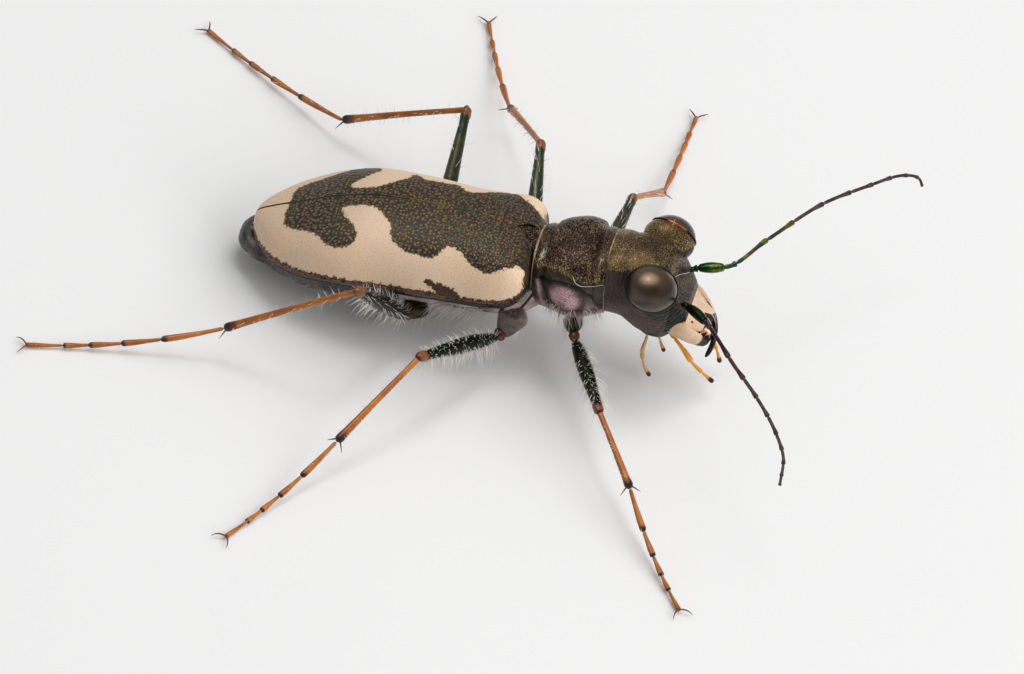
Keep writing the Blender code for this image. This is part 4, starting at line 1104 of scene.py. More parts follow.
# Teeth as (share along the jaw, size)
MANDIBLE_TEETH = [(0.44, 0.8), (0.55, 1.0), (0.66, 1.0), (0.76, 0.6)]
TOOTH_LENGTH, TOOTH_RADIUS = 0.3, 0.08
TOOTH_LEAN = {"right": (0.55, 0.8, 0.05), "left": (-0.1, -1.0, 0.0)}
# The share along each jaw from which it darkens, and the number of points on a route
JAW_DARK_FROM = {"right": 0.5, "left": 0.45}
ROUTE_STEPS = 60


def even_route(points, count):
    """Evenly spaced points along a smooth curve through few points, each of which may carry a radius."""
    points = np.array(points, float)
    way = np.concatenate([[0], np.cumsum(np.linalg.norm(np.diff(points[:, :3], axis=0), axis=1))])
    at = np.linspace(0, way[-1], count)
    return np.stack([along(list(zip(way, column)), at) for column in points.T], -1)


def round_limb(route, radius, flatness=1.0):
    """The place function of a limb along a route: share round it, then share along it.

    Radius is a function of the share along, flatness scales it across, and the ends are rounded."""
    way = np.concatenate([[0], np.cumsum(np.linalg.norm(np.diff(route, axis=0), axis=1))])
    shares = way / way[-1]
    heading = np.gradient(route, axis=0)
    heading /= np.linalg.norm(heading, axis=1, keepdims=True)
    side = np.cross(heading, (0.0, 0.0, 1.0))
    side /= np.linalg.norm(side, axis=1, keepdims=True)
    upper = np.cross(side, heading)

    def place(u, v):
        share = np.clip(v, 0, 1)
        centre, across, above = (np.stack([np.interp(share, shares, axis) for axis in rows.T], -1)
                                 for rows in (route, side, upper))
        wide = radius(share)
        left = np.minimum(share, 1 - share) * way[-1]
        wide = wide * np.sqrt(np.clip(1 - (1 - np.clip(left / (1.2 * wide + 1e-9), 0, 1)) ** 2, 0, 1))
        turn = 2 * np.pi * u
        return (centre + across * (wide * np.cos(turn) * flatness)[:, None]
                + above * (wide * np.sin(turn))[:, None])
    return place


def widths(knots):
    return lambda share: np.interp(share, *np.array(knots, float).T)


def limb(name, size, line, knots, fields=None, flatness=1.0):
    """A closed sheet of that many columns and rows round a line. Knots give its (share along, radius)."""
    return sheet(name, *size, round_limb(line, widths(knots), flatness), fields)


def unit(heading):
    return heading / np.linalg.norm(heading)


def join(pieces, name):
    """Makes several meshes one piece."""
    deselect()
    for piece in pieces:
        piece.select_set(True)
    bpy.context.view_layer.objects.active = pieces[0]
    bpy.ops.object.join()
    pieces[0].name = pieces[0].data.name = name
    return pieces[0]


mandible_horn = stained_horn("mandible_horn", (0.66, 0.48, 0.33), (0.01, 0.004, 0.005), roughness=0.4,
                             specular_ior_level=0.15, coat_weight=0.06, coat_roughness=0.15)
for side_name, knots in MANDIBLES.items():
    jaw_route = even_route(knots, ROUTE_STEPS)
    jaw_knots = list(zip(np.linspace(0, 1, ROUTE_STEPS), jaw_route[:, 3]))
    dark_from = JAW_DARK_FROM[side_name]

    def jaw_stain(u, v):
        edge = smooth(np.sin(2 * np.pi * u + 0.75 * SIDES[side_name]), 0.75, 0.97)
        return smooth(v + 0.16 * edge, dark_from, dark_from + 0.14)

    parts = [limb("jaw", (28, 70), from_body(jaw_route[:, :3]), jaw_knots, {"stain": jaw_stain}, 0.62)]
    for share, size in MANDIBLE_TEETH:
        root = jaw_route[round(share * (ROUTE_STEPS - 1))]
        heading = unit(np.array(TOOTH_LEAN[side_name]))
        tip = root[:3] + heading * (root[3] * 0.6 + TOOTH_LENGTH * size)
        tooth_line = from_body(even_route([root[:3], (root[:3] + tip) / 2 + [0.02, 0, 0.03], tip], 8))
        tooth_knots = [(0, TOOTH_RADIUS), (0.6, TOOTH_RADIUS * 0.7), (1, 0.008)]
        parts.append(limb("tooth", (10, 10), tooth_line, tooth_knots, {"stain": 1}))
    jaw = join(parts, "mandible_horn_" + side_name)
    belong(jaw, mandible_horn, "cream_mouthparts", "mandible_" + side_name)

# The palps.
# Two pairs of jointed feelers below the jaws. The outer pair is amber and the inner pair pale with long
# hairs, and each ends in a dark joint.
PALPS = {
    "maxillary_palp_right": [(4.1, -0.42, -2.0), (4.35, -0.45, -2.35), (4.68, -0.52, -2.72),
        (4.99, -0.56, -3.15), (5.29, -0.58, -3.42), (5.62, -0.6, -3.68)],
    "maxillary_palp_left": [(4.1, 0.42, -2.1), (4.65, 0.5, -2.6), (5.18, 0.52, -3.02), (5.4, 0.46, -3.27),
        (5.49, 0.44, -3.52), (5.57, 0.42, -3.86)],
    "labial_palp_right": [(3.5, -0.3, -1.95), (3.58, -0.4, -2.55), (3.51, -0.58, -3.0),
        (3.56, -0.68, -3.34), (3.8, -0.76, -3.79)],
    "labial_palp_left": [(3.5, 0.32, -2.0), (3.64, 0.32, -2.6), (3.78, 0.29, -3.16), (3.98, 0.22, -3.68)],
}
# Joints of the palps as (share where they end, radius at the start, radius at the end)
PALP_JOINTS = {
    "maxillary": [(0.21, 0.065, 0.072), (0.6, 0.05, 0.084), (0.8, 0.042, 0.06), (1.0, 0.036, 0.07)],
    "labial": [(0.25, 0.052, 0.06), (0.7, 0.042, 0.064), (1.0, 0.03, 0.06)],
}


def joint_share(share, ends):
    """How far along its own joint each share is, from 0 to 1, and which joint it is in."""
    starts = np.array([0.0, *ends[:-1]])
    which = np.clip(np.searchsorted(starts, share, side="right") - 1, 0, len(ends) - 1)
    return (share - starts[which]) / (np.array(ends)[which] - starts[which]), which


def jointed_width(joints, neck=0.08):
    """Each joint starts in a narrow neck and swells to its far end."""
    ends, slim, thick = np.array(joints, float).T

    def width(share):
        local, which = joint_share(share, ends)
        body = slim[which] + (thick - slim)[which] * smooth(local, 0.1, 0.85)
        return body * (0.6 + 0.4 * smooth(local, 0.0, neck)) * (1 - 0.35 * smooth(local, 0.92, 1.0) ** 2)
    return width


amber_horn = stained_horn("amber_horn", (0.8, 0.33, 0.035), (0.03, 0.012, 0.008), roughness=0.35,
                          specular_ior_level=0.3)
pale_horn = stained_horn("pale_horn", (0.66, 0.37, 0.15), (0.03, 0.018, 0.016), roughness=0.4,
                         specular_ior_level=0.3)
palp_places = {}
for palp_name, knots in PALPS.items():
    kind = palp_name.split("_")[0]
    palp_line = from_body(even_route(knots, ROUTE_STEPS))
    palp_places[palp_name] = round_limb(palp_line, jointed_width(PALP_JOINTS[kind]))
    palp = sheet(palp_name + "_joints", 14, 90, palp_places[palp_name],
                 {"stain": lambda u, v: smooth(v, 0.87, 0.96)})
    belong(palp, amber_horn if kind == "maxillary" else pale_horn, "amber_palps", palp_name)

# The antennae.
# Each has eleven joints: a thick first one in a socket below the eye, a bead, and then long thin ones
# that shorten to the tip. The first four are bare metallic green and copper, the rest dull brown.
ANTENNAE = {
    "right": [(4.64, -0.72, 3.38), (4.84, -0.84, 3.46), (5.47, -1.45, 3.66), (6.49, -2.93, 3.98),
        (7.5, -4.1, 4.03), (8.4, -5.23, 3.9), (8.8, -6.0, 3.74), (8.89, -6.65, 3.44)],
    "left": [(4.5, 0.66, 3.36), (4.72, 0.76, 3.45), (5.55, 0.95, 3.66), (6.37, 2.16, 3.91),
        (7.54, 4.05, 4.03), (8.73, 5.46, 3.98), (9.52, 6.36, 3.8), (9.9, 6.55, 3.64), (10.06, 6.46, 3.44)],
}
# Shares along the antenna where the socket knob and each of the eleven joints end, and their radii
ANTENNA_ENDS = {
    "right": (0.028, 0.149, 0.187, 0.381, 0.503, 0.605, 0.7, 0.785, 0.855, 0.915, 0.962, 1.0),
    "left": (0.032, 0.119, 0.16, 0.306, 0.429, 0.567, 0.683, 0.774, 0.855, 0.924, 0.964, 1.0),
}
ANTENNA_RADII = (0.1, 0.155, 0.085, 0.075, 0.073, 0.068, 0.066, 0.064, 0.062, 0.058, 0.055, 0.05)
# Where the bare metallic joints end, and the number of points on the route
ANTENNA_CUT, ANTENNA_STEPS = 5, 160
# How purple the socket knob and the first four joints are
ANTENNA_TONES = {"right": (0.0, 0.0, 0.9, 0.85, 1.0), "left": (0.0, 0.0, 0.3, 0.1, 0.2)}
# How black the knob and the first joint are. Both are dark in themselves; that the near right one is blacker
# than the far left one is painted light and shade
ANTENNA_SHADES = {"right": 0.9, "left": 0.45}


def antenna_width(ends):
    def width(share):
        local, which = joint_share(share, ends)
        thick = np.array(ANTENNA_RADII)[which]
        swell = np.where(which == 1, 0.5 + 0.5 * np.sin(np.pi * np.clip(local * 0.8 + 0.08, 0, 1)),
                         0.78 + 0.32 * smooth(local, 0.6, 0.97))
        return thick * swell * (0.6 + 0.4 * smooth(local, 0.0, 0.1)) * (1 - 0.3 * smooth(local, 0.96, 1.0))
    return width


def metal_green(name, tones, roughness=0.25):
    """Dark metallic cuticle that turns from green to blue and copper."""
    made, tree, shader = new_material(name, roughness=roughness, metallic=0.85, specular_ior_level=0.3)
    where = in_millimetres(tree)
    grain = noise(where, 18.0, 2.0)
    feed(shader, base_color=coated(
        ramp(noise(where, 1.8, 3.0), list(zip((0.32, 0.45, 0.56, 0.68), tones))),
        (attribute(tree, "purple"), (0.105, 0.036, 0.052)),
        (attribute(tree, "shade"), (0.005, 0.009, 0.007)),
        (rise(grain, 0.5, 0.75, 0.0, 0.6), (0.006, 0.006, 0.006))))
    add_bump(shader, grain, 0.01, 0.7)
    return made


feeler_metal = metal_green("feeler_metal", [(0.012, 0.075, 0.05), (0.02, 0.11, 0.03), (0.19, 0.29, 0.04),
                                            (0.23, 0.06, 0.03)])
dull_feeler, dull_tree, dull_shader = new_material("dull_feeler", roughness=0.4, specular_ior_level=0.3)
dull_grain = noise(in_millimetres(dull_tree), 8.0, 3.0)
feed(dull_shader, base_color=mix(rise(dull_grain, 0.35, 0.65), (0.026, 0.013, 0.016), (0.08, 0.044, 0.042)))
add_bump(dull_shader, dull_grain, 0.008)
for side_name, knots in ANTENNAE.items():
    ends = np.array(ANTENNA_ENDS[side_name])
    whole = round_limb(from_floor(even_route(knots, ANTENNA_STEPS)), antenna_width(ends))
    cut = ends[ANTENNA_CUT - 1]
    lengths = [("antenna_stem_", 0.0, cut, feeler_metal, "green_metal", ["antenna_base_"]),
               ("antenna_whip_", cut - 0.002, 1.0, dull_feeler, "antenna_dull",
                ["antenna_middle_", "antenna_tip_"])]
    tones = np.array([*ANTENNA_TONES[side_name], *[1.0] * 8])
    for length_name, start, end, finish, slot, nodes in lengths:
        def length_place(u, v):
            return whole(u, start + (end - start) * v)

        def length_fields(u, v):
            local, which = joint_share(start + (end - start) * v, ends)
            middle = 0.55 * hump(local, 0.5, 0.2) * ((which == 3) | (which == 4))
            return {"purple": np.clip(tones[which] + middle, 0, 1),
                    "shade": np.where(which < 2, ANTENNA_SHADES[side_name], 0.0)}

        length = sheet(length_name + side_name, 24, 170, length_place, length_fields)
        belong(length, finish, slot, *[node + side_name for node in nodes])

# The legs.
# A coxa sunk in the thorax, a small brown trochanter, a strong green femur, a thin orange tibia with two
# spurs at its dark end, and five tarsal joints that end in two claws. Each foot lies flat on the floor.
LEGS = {
    "front": {"hip": (1.62, -1.27, -2.27), "root": (1.5, -0.8, -1.78), "lengths": (3.07, 2.59, 3.99)},
    "middle": {"hip": (-0.39, -1.6, -2.56), "root": (-0.02, -1.05, -1.75), "lengths": (3.78, 3.38, 4.44)},
    "hind": {"hip": (-3.14, -1.4, -2.76), "root": (-2.88, -0.84, -2.38), "lengths": (4.24, 4.41, 5.62)},
}
# Turn and rise of the femur, turn and rise of the tibia, and turn of the tarsus, in degrees
STANCE = {
    ("front", "right"): (-62.1, 1.5, -53.7, -12.9, -52.8),
    ("middle", "right"): (-120.4, 21.3, -120.1, -25.4, -118.5),
    ("hind", "right"): (-114.6, 47.1, -176.2, -36.6, -161.2),
    ("front", "left"): (83.8, 8.7, 72.9, -34.1, 88.4),
    ("middle", "left"): (101.5, 19.9, 117.8, -26.5, 111.3),
    ("hind", "left"): (94.0, 38.1, 168.7, -33.3, 149.3),
}
FOOT_HEIGHT = 0.1
TARSUS_LEVELLING = 2.2
COXA_WIDTH = {
    "front": [(0, 0.3), (0.35, 0.36), (0.7, 0.3), (0.9, 0.22), (1, 0.17)],
    "middle": [(0, 0.46), (0.3, 0.44), (0.55, 0.33), (0.8, 0.24), (1, 0.18)],
    "hind": [(0, 0.3), (0.35, 0.38), (0.7, 0.33), (0.9, 0.22), (1, 0.17)],
}
COXA_FLATNESS = {"front": 0.85, "middle": 1.15, "hind": 1.1}
# How wide the trochanter swells, and how dark it is
TROCHANTER_SWELL = {"front": 0.17, "middle": 0.24, "hind": 0.17}
TROCHANTER_STAIN = {"front": 0.52, "middle": 0.62, "hind": 0.52}
FEMUR_WIDTH = [(0, 0.09), (0.05, 0.13), (0.12, 0.18), (0.3, 0.235), (0.5, 0.24), (0.72, 0.19), (0.9, 0.15),
    (0.96, 0.165), (1, 0.15)]
TIBIA_WIDTH = [(0, 0.07), (0.04, 0.088), (0.12, 0.082), (0.5, 0.09), (0.86, 0.112), (0.94, 0.13),
    (0.98, 0.134), (1, 0.1)]
# Joints of the tarsus as (share where they end, radius at the start, radius at the end)
TARSAL_JOINTS = [(0.32, 0.058, 0.095), (0.52, 0.054, 0.09), (0.68, 0.05, 0.085), (0.81, 0.047, 0.08),
                 (1.0, 0.04, 0.07)]
KNEE_WIDTH = [(0, 0.13), (0.3, 0.155), (0.7, 0.148), (0.9, 0.12), (1, 0.09)]
CLAW_RADIUS, CLAW_SPREAD, CLAW_HEIGHT = 0.026, 43.0, 0.03
SPUR_LENGTH, SPUR_RADIUS, SPUR_SPREAD = 0.42, 0.026, 55.0
CLAW_POINTS = [(0, 0, 0), (0.16, 0, 0.05), (0.32, 0, 0.03), (0.42, 0, -0.03)]


def direction(turn, lift):
    t, r = math.radians(turn), math.radians(lift)
    return np.array([math.cos(r) * math.cos(t), math.cos(r) * math.sin(t), math.sin(r)])


def leg_joints(place, side_name):
    """Root and hip of the coxa, knee, ankle, and the turns of the limbs, in the frame of the part."""
    side = SIDES[side_name]
    root, hip = (from_body(np.array(LEGS[place][key]) * (1, -side, 1)) for key in ("root", "hip"))
    femur_turn, femur_rise, tibia_turn, tibia_rise, tarsus_turn = STANCE[place, side_name]
    femur_length, tibia_length, tarsus_length = LEGS[place]["lengths"]
    knee = hip + direction(femur_turn, femur_rise) * femur_length
    ankle = knee + direction(tibia_turn, tibia_rise) * tibia_length
    return root, hip, knee, ankle, tarsus_turn, tarsus_length


def bowed(start, end, bow, count=40):
    """A line from start to end that bows up by a share of its length."""
    share = np.linspace(0, 1, count)[:, None]
    lift = np.array([0, 0, 1]) * bow * np.linalg.norm(end - start) * np.sin(np.pi * share)
    return start + (end - start) * share + lift


def tarsus_line(ankle, turn, length):
    """The foot comes down steeply from the ankle and levels out on the floor."""
    drop = ankle[2] - FOOT_HEIGHT
    reach = math.sqrt(length ** 2 - drop ** 2)
    share = np.linspace(0, 1, 80)
    heading = direction(turn, 0)
    line = ankle + heading * (share * reach)[:, None]
    line[:, 2] = FOOT_HEIGHT + drop * (1 - share) ** TARSUS_LEVELLING
    return line


def orange_cuticle():
    """Clear orange horn with brown joints, from the dark field."""
    made, tree, shader = new_material("orange_cuticle", roughness=0.28, specular_ior_level=0.4)
    where = in_millimetres(tree)
    pores, dark = cells(where, 7.0)[0], attribute(tree, "dark")
    feed(shader, base_color=coated(
        mix(rise(noise(where, 1.6, 3.0), 0.35, 0.65), (0.32, 0.088, 0.012), (0.47, 0.16, 0.022)),
        (rise(pores, 0.18, 0.06, 0.0, 0.6), (0.12, 0.035, 0.01)),
        (rise(dark, 0.1, 0.55), (0.15, 0.04, 0.012)),
        (rise(dark, 0.5, 1.0), (0.02, 0.009, 0.008))))
    add_bump(shader, noise(where, 20.0, 2.0), 0.008, 0.5)
    return made


orange = orange_cuticle()
# The far left legs get a lighter, greyer copy of the leg metal than the near right ones: painted light, not a
# colour of their own.
leg_metals = {
    "right": metal_green("leg_metal_right", [
        (0.006, 0.014, 0.014), (0.008, 0.021, 0.011), (0.02, 0.029, 0.011), (0.024, 0.015, 0.011)], 0.32),
    "left": metal_green("leg_metal_left", [
        (0.038, 0.052, 0.042), (0.05, 0.066, 0.04), (0.085, 0.092, 0.05), (0.07, 0.06, 0.044)], 0.38),
}
coxa_metal = metal_green("coxa_metal", [(0.012, 0.034, 0.034), (0.018, 0.03, 0.015), (0.05, 0.036, 0.02),
                                        (0.1, 0.058, 0.066)], 0.32)
coxa_plate = dark_plates("coxa_plate", (0.03, 0.024, 0.015), (0.2, 0.145, 0.13), 0.3)
brown_joint = stained_horn("brown_joint", (0.21, 0.07, 0.026), (0.018, 0.008, 0.007), roughness=0.2,
                           specular_ior_level=0.45)
limb_places = {}


def coxa_seam(u, v):
    return 0.1 + 0.16 * smooth(v + 0.1 * np.sin(6 * np.pi * u), 0.3, 0.7)


def foot_dark(u, v):
    """Each tarsal joint is dark at its far end."""
    local, which = joint_share(v, [joint[0] for joint in TARSAL_JOINTS])
    return smooth(local, 0.84, 0.96) * np.where(which < 4, 1.0, 0.5) + 0.35 * smooth(local, 0.06, 0.0)


def turned_by(ahead, beside, degrees):
    return ahead * math.cos(math.radians(degrees)) + beside * math.sin(math.radians(degrees))


for place, side_name in STANCE:
    ending = f"{place}_{side_name}"
    root, hip, knee, ankle, tarsus_turn, tarsus_length = leg_joints(place, side_name)
    thigh, shank = direction(*STANCE[place, side_name][:2]), (ankle - knee) / np.linalg.norm(ankle - knee)
    coxa_place = round_limb(bowed(root, hip, 0.0), widths(COXA_WIDTH[place]), COXA_FLATNESS[place])
    coxa = sheet("coxa_cone_" + ending, 28, 36, coxa_place, {"seam": coxa_seam})
    belong(coxa, coxa_plate if place == "middle" else coxa_metal, "green_metal", "coxa_" + ending)
    trochanter_line = bowed(hip - (hip - root) * 0.12 / np.linalg.norm(hip - root), hip + thigh * 0.3, 0.05)
    trochanter = limb("trochanter_" + ending, (20, 24), trochanter_line,
                      [(0, 0.15), (0.35, TROCHANTER_SWELL[place]), (0.8, 0.14), (1, 0.09)],
                      {"stain": lambda u, v: TROCHANTER_STAIN[place] + 0.3 * smooth(v, 0.5, 0.0)})
    belong(trochanter, brown_joint, "orange_legs")
    femur_place = round_limb(bowed(hip + thigh * 0.16, knee, 0.012), widths(FEMUR_WIDTH), 0.9)
    belong(sheet("femur_barrel_" + ending, 26, 80, femur_place), leg_metals[side_name], "green_metal",
           "femur_" + ending)
    knee_line = even_route([knee - thigh * 0.36, knee, knee + shank * 0.13], 30)
    knee_knob = limb("knee_" + ending, (20, 24), knee_line, KNEE_WIDTH,
                     {"stain": lambda u, v: 0.1 + 0.7 * hump(v, 0.9, 0.12)})
    belong(knee_knob, brown_joint, "orange_legs")
    tibia_place = round_limb(bowed(knee, ankle, 0.006), widths(TIBIA_WIDTH))
    parts = [sheet("shank", 18, 90, tibia_place,
                   {"dark": lambda u, v: 0.45 * smooth(v, 0.06, 0.0) + smooth(v, 0.84, 0.97)})]
    spur_root, spur_knots = ankle - shank * 0.14, [(0, SPUR_RADIUS), (0.4, SPUR_RADIUS * 0.9), (1, 0.006)]
    for turn in (-SPUR_SPREAD, SPUR_SPREAD):
        heading = unit(turned_by(shank, unit(np.cross(shank, (0, 0, 1))), turn) - np.array([0, 0, 0.3]))
        spur_line = bowed(spur_root, spur_root + heading * SPUR_LENGTH, 0.03, 12)
        parts.append(limb("spur", (8, 14), spur_line, spur_knots, {"dark": 0.5}))
    belong(join(parts, "tibia_shank_" + ending), orange, "orange_legs", "tibia_" + ending)

    foot_line = tarsus_line(ankle, tarsus_turn, tarsus_length)
    foot_place = round_limb(foot_line, jointed_width(TARSAL_JOINTS, 0.06))
    parts = [sheet("foot", 16, 190, foot_place, {"dark": foot_dark})]
    heading = direction(tarsus_turn, 0)
    beside = np.array([-heading[1], heading[0], 0])
    claw_root = foot_line[-1] - heading * 0.06
    claw_knots = [(0, CLAW_RADIUS), (0.5, CLAW_RADIUS * 0.8), (1, 0.006)]
    for turn in (-CLAW_SPREAD, CLAW_SPREAD):
        out, bend = turned_by(heading, beside, turn), beside * math.copysign(0.05, turn)
        claw_line = np.array([claw_root + out * x + np.array([0, 0, z]) + bend * math.sin(x * 7)
                              for x, _, z in even_route(CLAW_POINTS, 14)])
        claw_line[:, 2] = np.maximum(claw_line[:, 2], CLAW_HEIGHT)
        parts.append(limb("claw", (8, 16), claw_line, claw_knots, {"dark": lambda u, v: 0.4 + 0.3 * v}))
    belong(join(parts, "tarsus_foot_" + ending), orange, "orange_legs", "tarsus_" + ending)
    limb_places[place, side_name] = {"coxa": coxa_place, "femur": femur_place, "tibia": tibia_place,
                                     "tarsus": foot_place}

# The hairs.
# White stiff bristles stand on femora, tibiae and feet. Longer soft white hair hangs from the thorax and
# lies on the belly, and single long hairs stand at the eyes, the side edge of the prothorax and the lip.
HAIR_RINGS = 5
# How far roots are sunk, how far all hairs stay above the floor, and the size of a hair on its UV map
HAIR_SUNK, HAIR_FLOOR, HAIR_PATCH = 0.03, 0.02, 0.003
FEMUR_COAT = {"front": 1.0, "middle": 1.25, "hind": 0.55}
FAR_COAT = 0.2
SMALL_STEP = 1e-3
rng = np.random.default_rng(7)


def hair_model():
    """Points and faces of one hair, a cone of three sides cut into rings, from 0 at the root to 1."""
    deselect()
    bpy.ops.mesh.primitive_cone_add(vertices=3, radius1=1, radius2=0.12, depth=1, end_fill_type="NGON",
                                    location=(0, 0, 0.5))
    model = bpy.context.object
    mesh = model.data
    bpy.ops.object.mode_set(mode="EDIT")
    bpy.ops.mesh.select_mode(type="EDGE")
    bpy.ops.object.mode_set(mode="OBJECT")
    for edge in mesh.edges:
        start, end = (mesh.vertices[v].co.z for v in edge.vertices)
        edge.select = abs(start - end) > 0.5
    bpy.ops.object.mode_set(mode="EDIT")
    bpy.ops.mesh.subdivide(number_cuts=HAIR_RINGS - 2)
    bpy.ops.object.mode_set(mode="OBJECT")
    points = np.array([v.co for v in mesh.vertices])
    points[:, 2] -= points[:, 2].min()
    faces = [list(f.vertices) for f in mesh.polygons]
    bpy.data.objects.remove(model)
    return points, faces


hair_points, hair_faces = hair_model()


def surface_at(place, u, v):
    """Points, outward normals and headings towards the far end of a surface given by its place function."""
    points = place(u, v)
    onwards = place(u, v + SMALL_STEP) - place(u, v - SMALL_STEP)
    around = place(u + SMALL_STEP, v) - place(u - SMALL_STEP, v)
    normal = np.cross(around, onwards)
    outward = points - (points + place(u + 0.5, v)) / 2
    normal *= np.sign((normal * outward).sum(1, keepdims=True))
    return (points, normal / (np.linalg.norm(normal, axis=1, keepdims=True) + 1e-12),
            onwards / (np.linalg.norm(onwards, axis=1, keepdims=True) + 1e-12))


def plant(name, rows, material):
    """One mesh of many hairs. Rows hold the root, heading, bend, length, thickness and UV place of each."""
    roots, headings, bends, lengths, thick, spots = (np.concatenate(part) for part in zip(*rows))
    headings /= np.linalg.norm(headings, axis=1, keepdims=True)
    side = np.cross(headings, bends + SMALL_STEP)
    side /= np.linalg.norm(side, axis=1, keepdims=True)
    other = np.cross(headings, side)
    x, y, z = hair_points.T
    taper = 1 - 0.25 * z

    def spread(ways, amounts):
        return ways[:, None] * amounts[..., None]
    points = (roots[:, None] - headings[:, None] * HAIR_SUNK + spread(headings, z * lengths[:, None])
              + spread(bends, z ** 2 * lengths[:, None]) + spread(side, x * taper * thick[:, None])
              + spread(other, y * taper * thick[:, None]))
    points[..., 2] = np.maximum(points[..., 2], HAIR_FLOOR)
    mesh = bpy.data.meshes.new(name)
    per = len(hair_points)
    faces = [[v + per * k for v in face] for k in range(len(roots)) for face in hair_faces]
    mesh.from_pydata((points.reshape(-1, 3) * MM).tolist(), [], faces)
    unwrap = mesh.uv_layers.new(name="OFBake")
    corners = np.empty(len(mesh.loops), int)
    mesh.loops.foreach_get("vertex_index", corners)
    places = (spots[:, None] + np.stack([x * 0.5, z - 0.5], -1) * HAIR_PATCH).reshape(-1, 2)
    unwrap.data.foreach_set("uv", places[corners].ravel())
    mesh.validate()
    mesh.shade_smooth()
    hairs = bpy.data.objects.new(name, mesh)
    scene.collection.objects.link(hairs)
    return belong(hairs, material, "setae")


def hairs_on(place, count, u_span, v_span, length, lean, thick, sag=0.1, cell=(0, 0, 1, 1), spread=0.25):
    """Rows for plant: hairs on a surface, leaning towards its far end, with a little of their own will."""
    u = rng.uniform(*u_span, count)
    v = v_span[0] + (v_span[1] - v_span[0]) * (np.arange(count) + rng.uniform(0, 1, count)) / count
    points, normals, onwards = surface_at(place, u, v)
    heading = normals + onwards * lean + rng.normal(0, spread, (count, 3))
    bend = onwards * 0.25 * lean + np.array([0, 0, -sag]) + rng.normal(0, 0.06, (count, 3))
    spots = np.stack([cell[0] + (u % 1) * cell[2], cell[1] + v * cell[3]], -1)
    return points, heading, bend, length * rng.uniform(0.6, 1.25, count), np.full(count, thick), spots


def hair_material(name, light, dark):
    made, tree, shader = new_material(name, roughness=0.4)
    tint = rise(noise(in_millimetres(tree), 2.0, 2.0), 0.35, 0.65)
    feed(shader, base_color=mix(tint, light, dark))
    return made


hair_finish = hair_material("white_hair", (0.84, 0.81, 0.75), (0.8, 0.76, 0.7))
body_hair = hair_material("grey_hair", (0.74, 0.7, 0.65), (0.56, 0.51, 0.46))
coats = {"femora": [], "tibiae": [], "tarsi": [], "coxae": []}
for number, ((place, side_name), places) in enumerate(limb_places.items()):
    cell = (number / 6 + 0.004, 0.004, 0.155, 0.99)
    near = side_name == "right"
    femur_coat = FEMUR_COAT[place] * (1.0 if near else FAR_COAT)
    tibia_coat = int(22 * (LEGS[place]["lengths"][0] / 3.0))
    below, above = ((0.47, 0.86), (0.1, 0.45)) if near else ((0.64, 1.03), (0.05, 0.4))
    # Coat, limb, count, shares round and along, length, lean, thickness, sag and spread
    for coat, limb_name, *settings, spread in (
            ("femora", "femur", int(70 * femur_coat), (0.0, 1.0), (0.06, 0.95), 0.26, 0.8, 0.012, 0.0, 0.12),
            ("femora", "femur", int(130 * femur_coat), below, (0.05, 0.94), 0.4, 0.45, 0.014, 0.25, 0.08),
            ("femora", "femur", int(80 * femur_coat), above, (0.05, 0.94), 0.32, 0.9, 0.014, 0.0, 0.08),
            ("tibiae", "tibia", tibia_coat, (-0.1, 0.18), (0.08, 0.95), 0.24, 0.2, 0.011, 0.0, 0.1),
            ("tibiae", "tibia", tibia_coat, (0.4, 0.68), (0.08, 0.95), 0.24, 0.2, 0.011, 0.0, 0.1),
            ("tarsi", "tarsus", 50, (0.0, 1.0), (0.04, 0.98), 0.12, 0.8, 0.008, 0.0, 0.25),
            ("coxae", "coxa", 14, (0.5, 1.0), (0.45, 0.85), 0.3, 0.8, 0.011, 0.3, 0.25)):
        coats[coat].append(hairs_on(places[limb_name], *settings, cell, spread))
for coat, rows in coats.items():
    plant("hairs_on_" + coat, rows, hair_finish)
body_rows, chest_rows = [], []
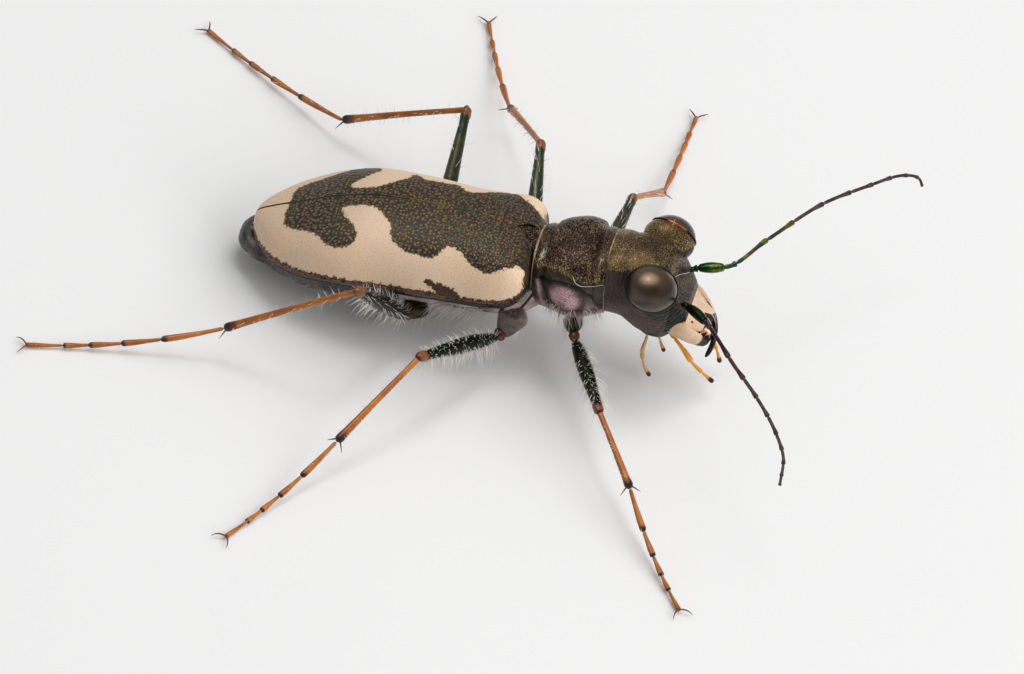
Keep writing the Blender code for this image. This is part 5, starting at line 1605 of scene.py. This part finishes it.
for side_name, side in SIDES.items():
    sides = (0.53, 0.74) if side < 0 else (0.76, 0.97)
    for place, count, span, *settings, first in (
            (thorax_place, 220, (0.4, 0.66), 0.5, 0.9, 0.011, 0.4, 0.0),
            (abdomen_place, 100, (0.05, 0.97), 0.22, 1.4, 0.01, 0.1, 0.35)):
        body_rows.append(hairs_on(place, count, sides, span, *settings, (0.0, first, 1.0, 0.3)))
    under = (0.53, 0.64) if side < 0 else (0.86, 0.97)
    chest_rows.append(hairs_on(prothorax_place, 110, under, (0.22, 0.95), 0.36, 0.3, 0.011, 0.5,
                               (0.0, 0.5 * (side > 0), 1.0, 0.48)))
plant("hairs_on_body", body_rows, body_hair)
plant("hairs_on_prothorax", chest_rows, body_hair)
palp_rows = [hairs_on(palp_places["labial_palp_" + side_name], 26, (0.0, 1.0), (0.3, 0.85), 0.3, 0.3, 0.006,
                      0.0, (0.5 * number, 0.0, 0.45, 1.0)) for number, side_name in enumerate(SIDES)]
plant("hairs_on_palps", palp_rows, hair_finish)

# Single bristles stand at the eyes, along the side edge of the prothorax and on the lip
BRISTLES = [
    ((4.36, -0.83, 0.33), (4.57, -0.8, 0.47), (4.77, -0.7, 0.5)),
    ((3.85, 0.82, 0.5), (3.86, 1.0, 0.58), (3.87, 1.2, 0.6)),
    ((1.53, -1.26, -0.03), (1.64, -1.46, -0.04), (1.76, -1.52, -0.08), (2.11, -1.56, 0.01),
     (2.5, -1.5, 0.13)),
    ((1.53, 1.3, -0.3), (1.64, 1.42, -0.4), (1.9, 1.45, -0.45), (2.3, 1.38, -0.4)),
]
LIP_BRISTLE = [(0, 0, 0), (0.24, -0.05, 0.02), (0.44, -0.12, -0.22), (0.5, -0.16, -0.5)]
BRISTLE_WIDTH = [(0, 0.009), (1, 0.003)]
for across in (-0.55, -0.3, 0.05, 0.35, 0.62):
    root = np.array([LABRUM_BASE[0] + 0.33 * (1 - across ** 2), LABRUM_HALF_WIDTH * 0.9 * across, -1.56])
    BRISTLES.append([root + step for step in LIP_BRISTLE])
parts = [limb("bristle", (6, 20), from_body(even_route(knots, 16)), BRISTLE_WIDTH) for knots in BRISTLES]
belong(join(parts, "single_bristles"), hair_finish, "setae")
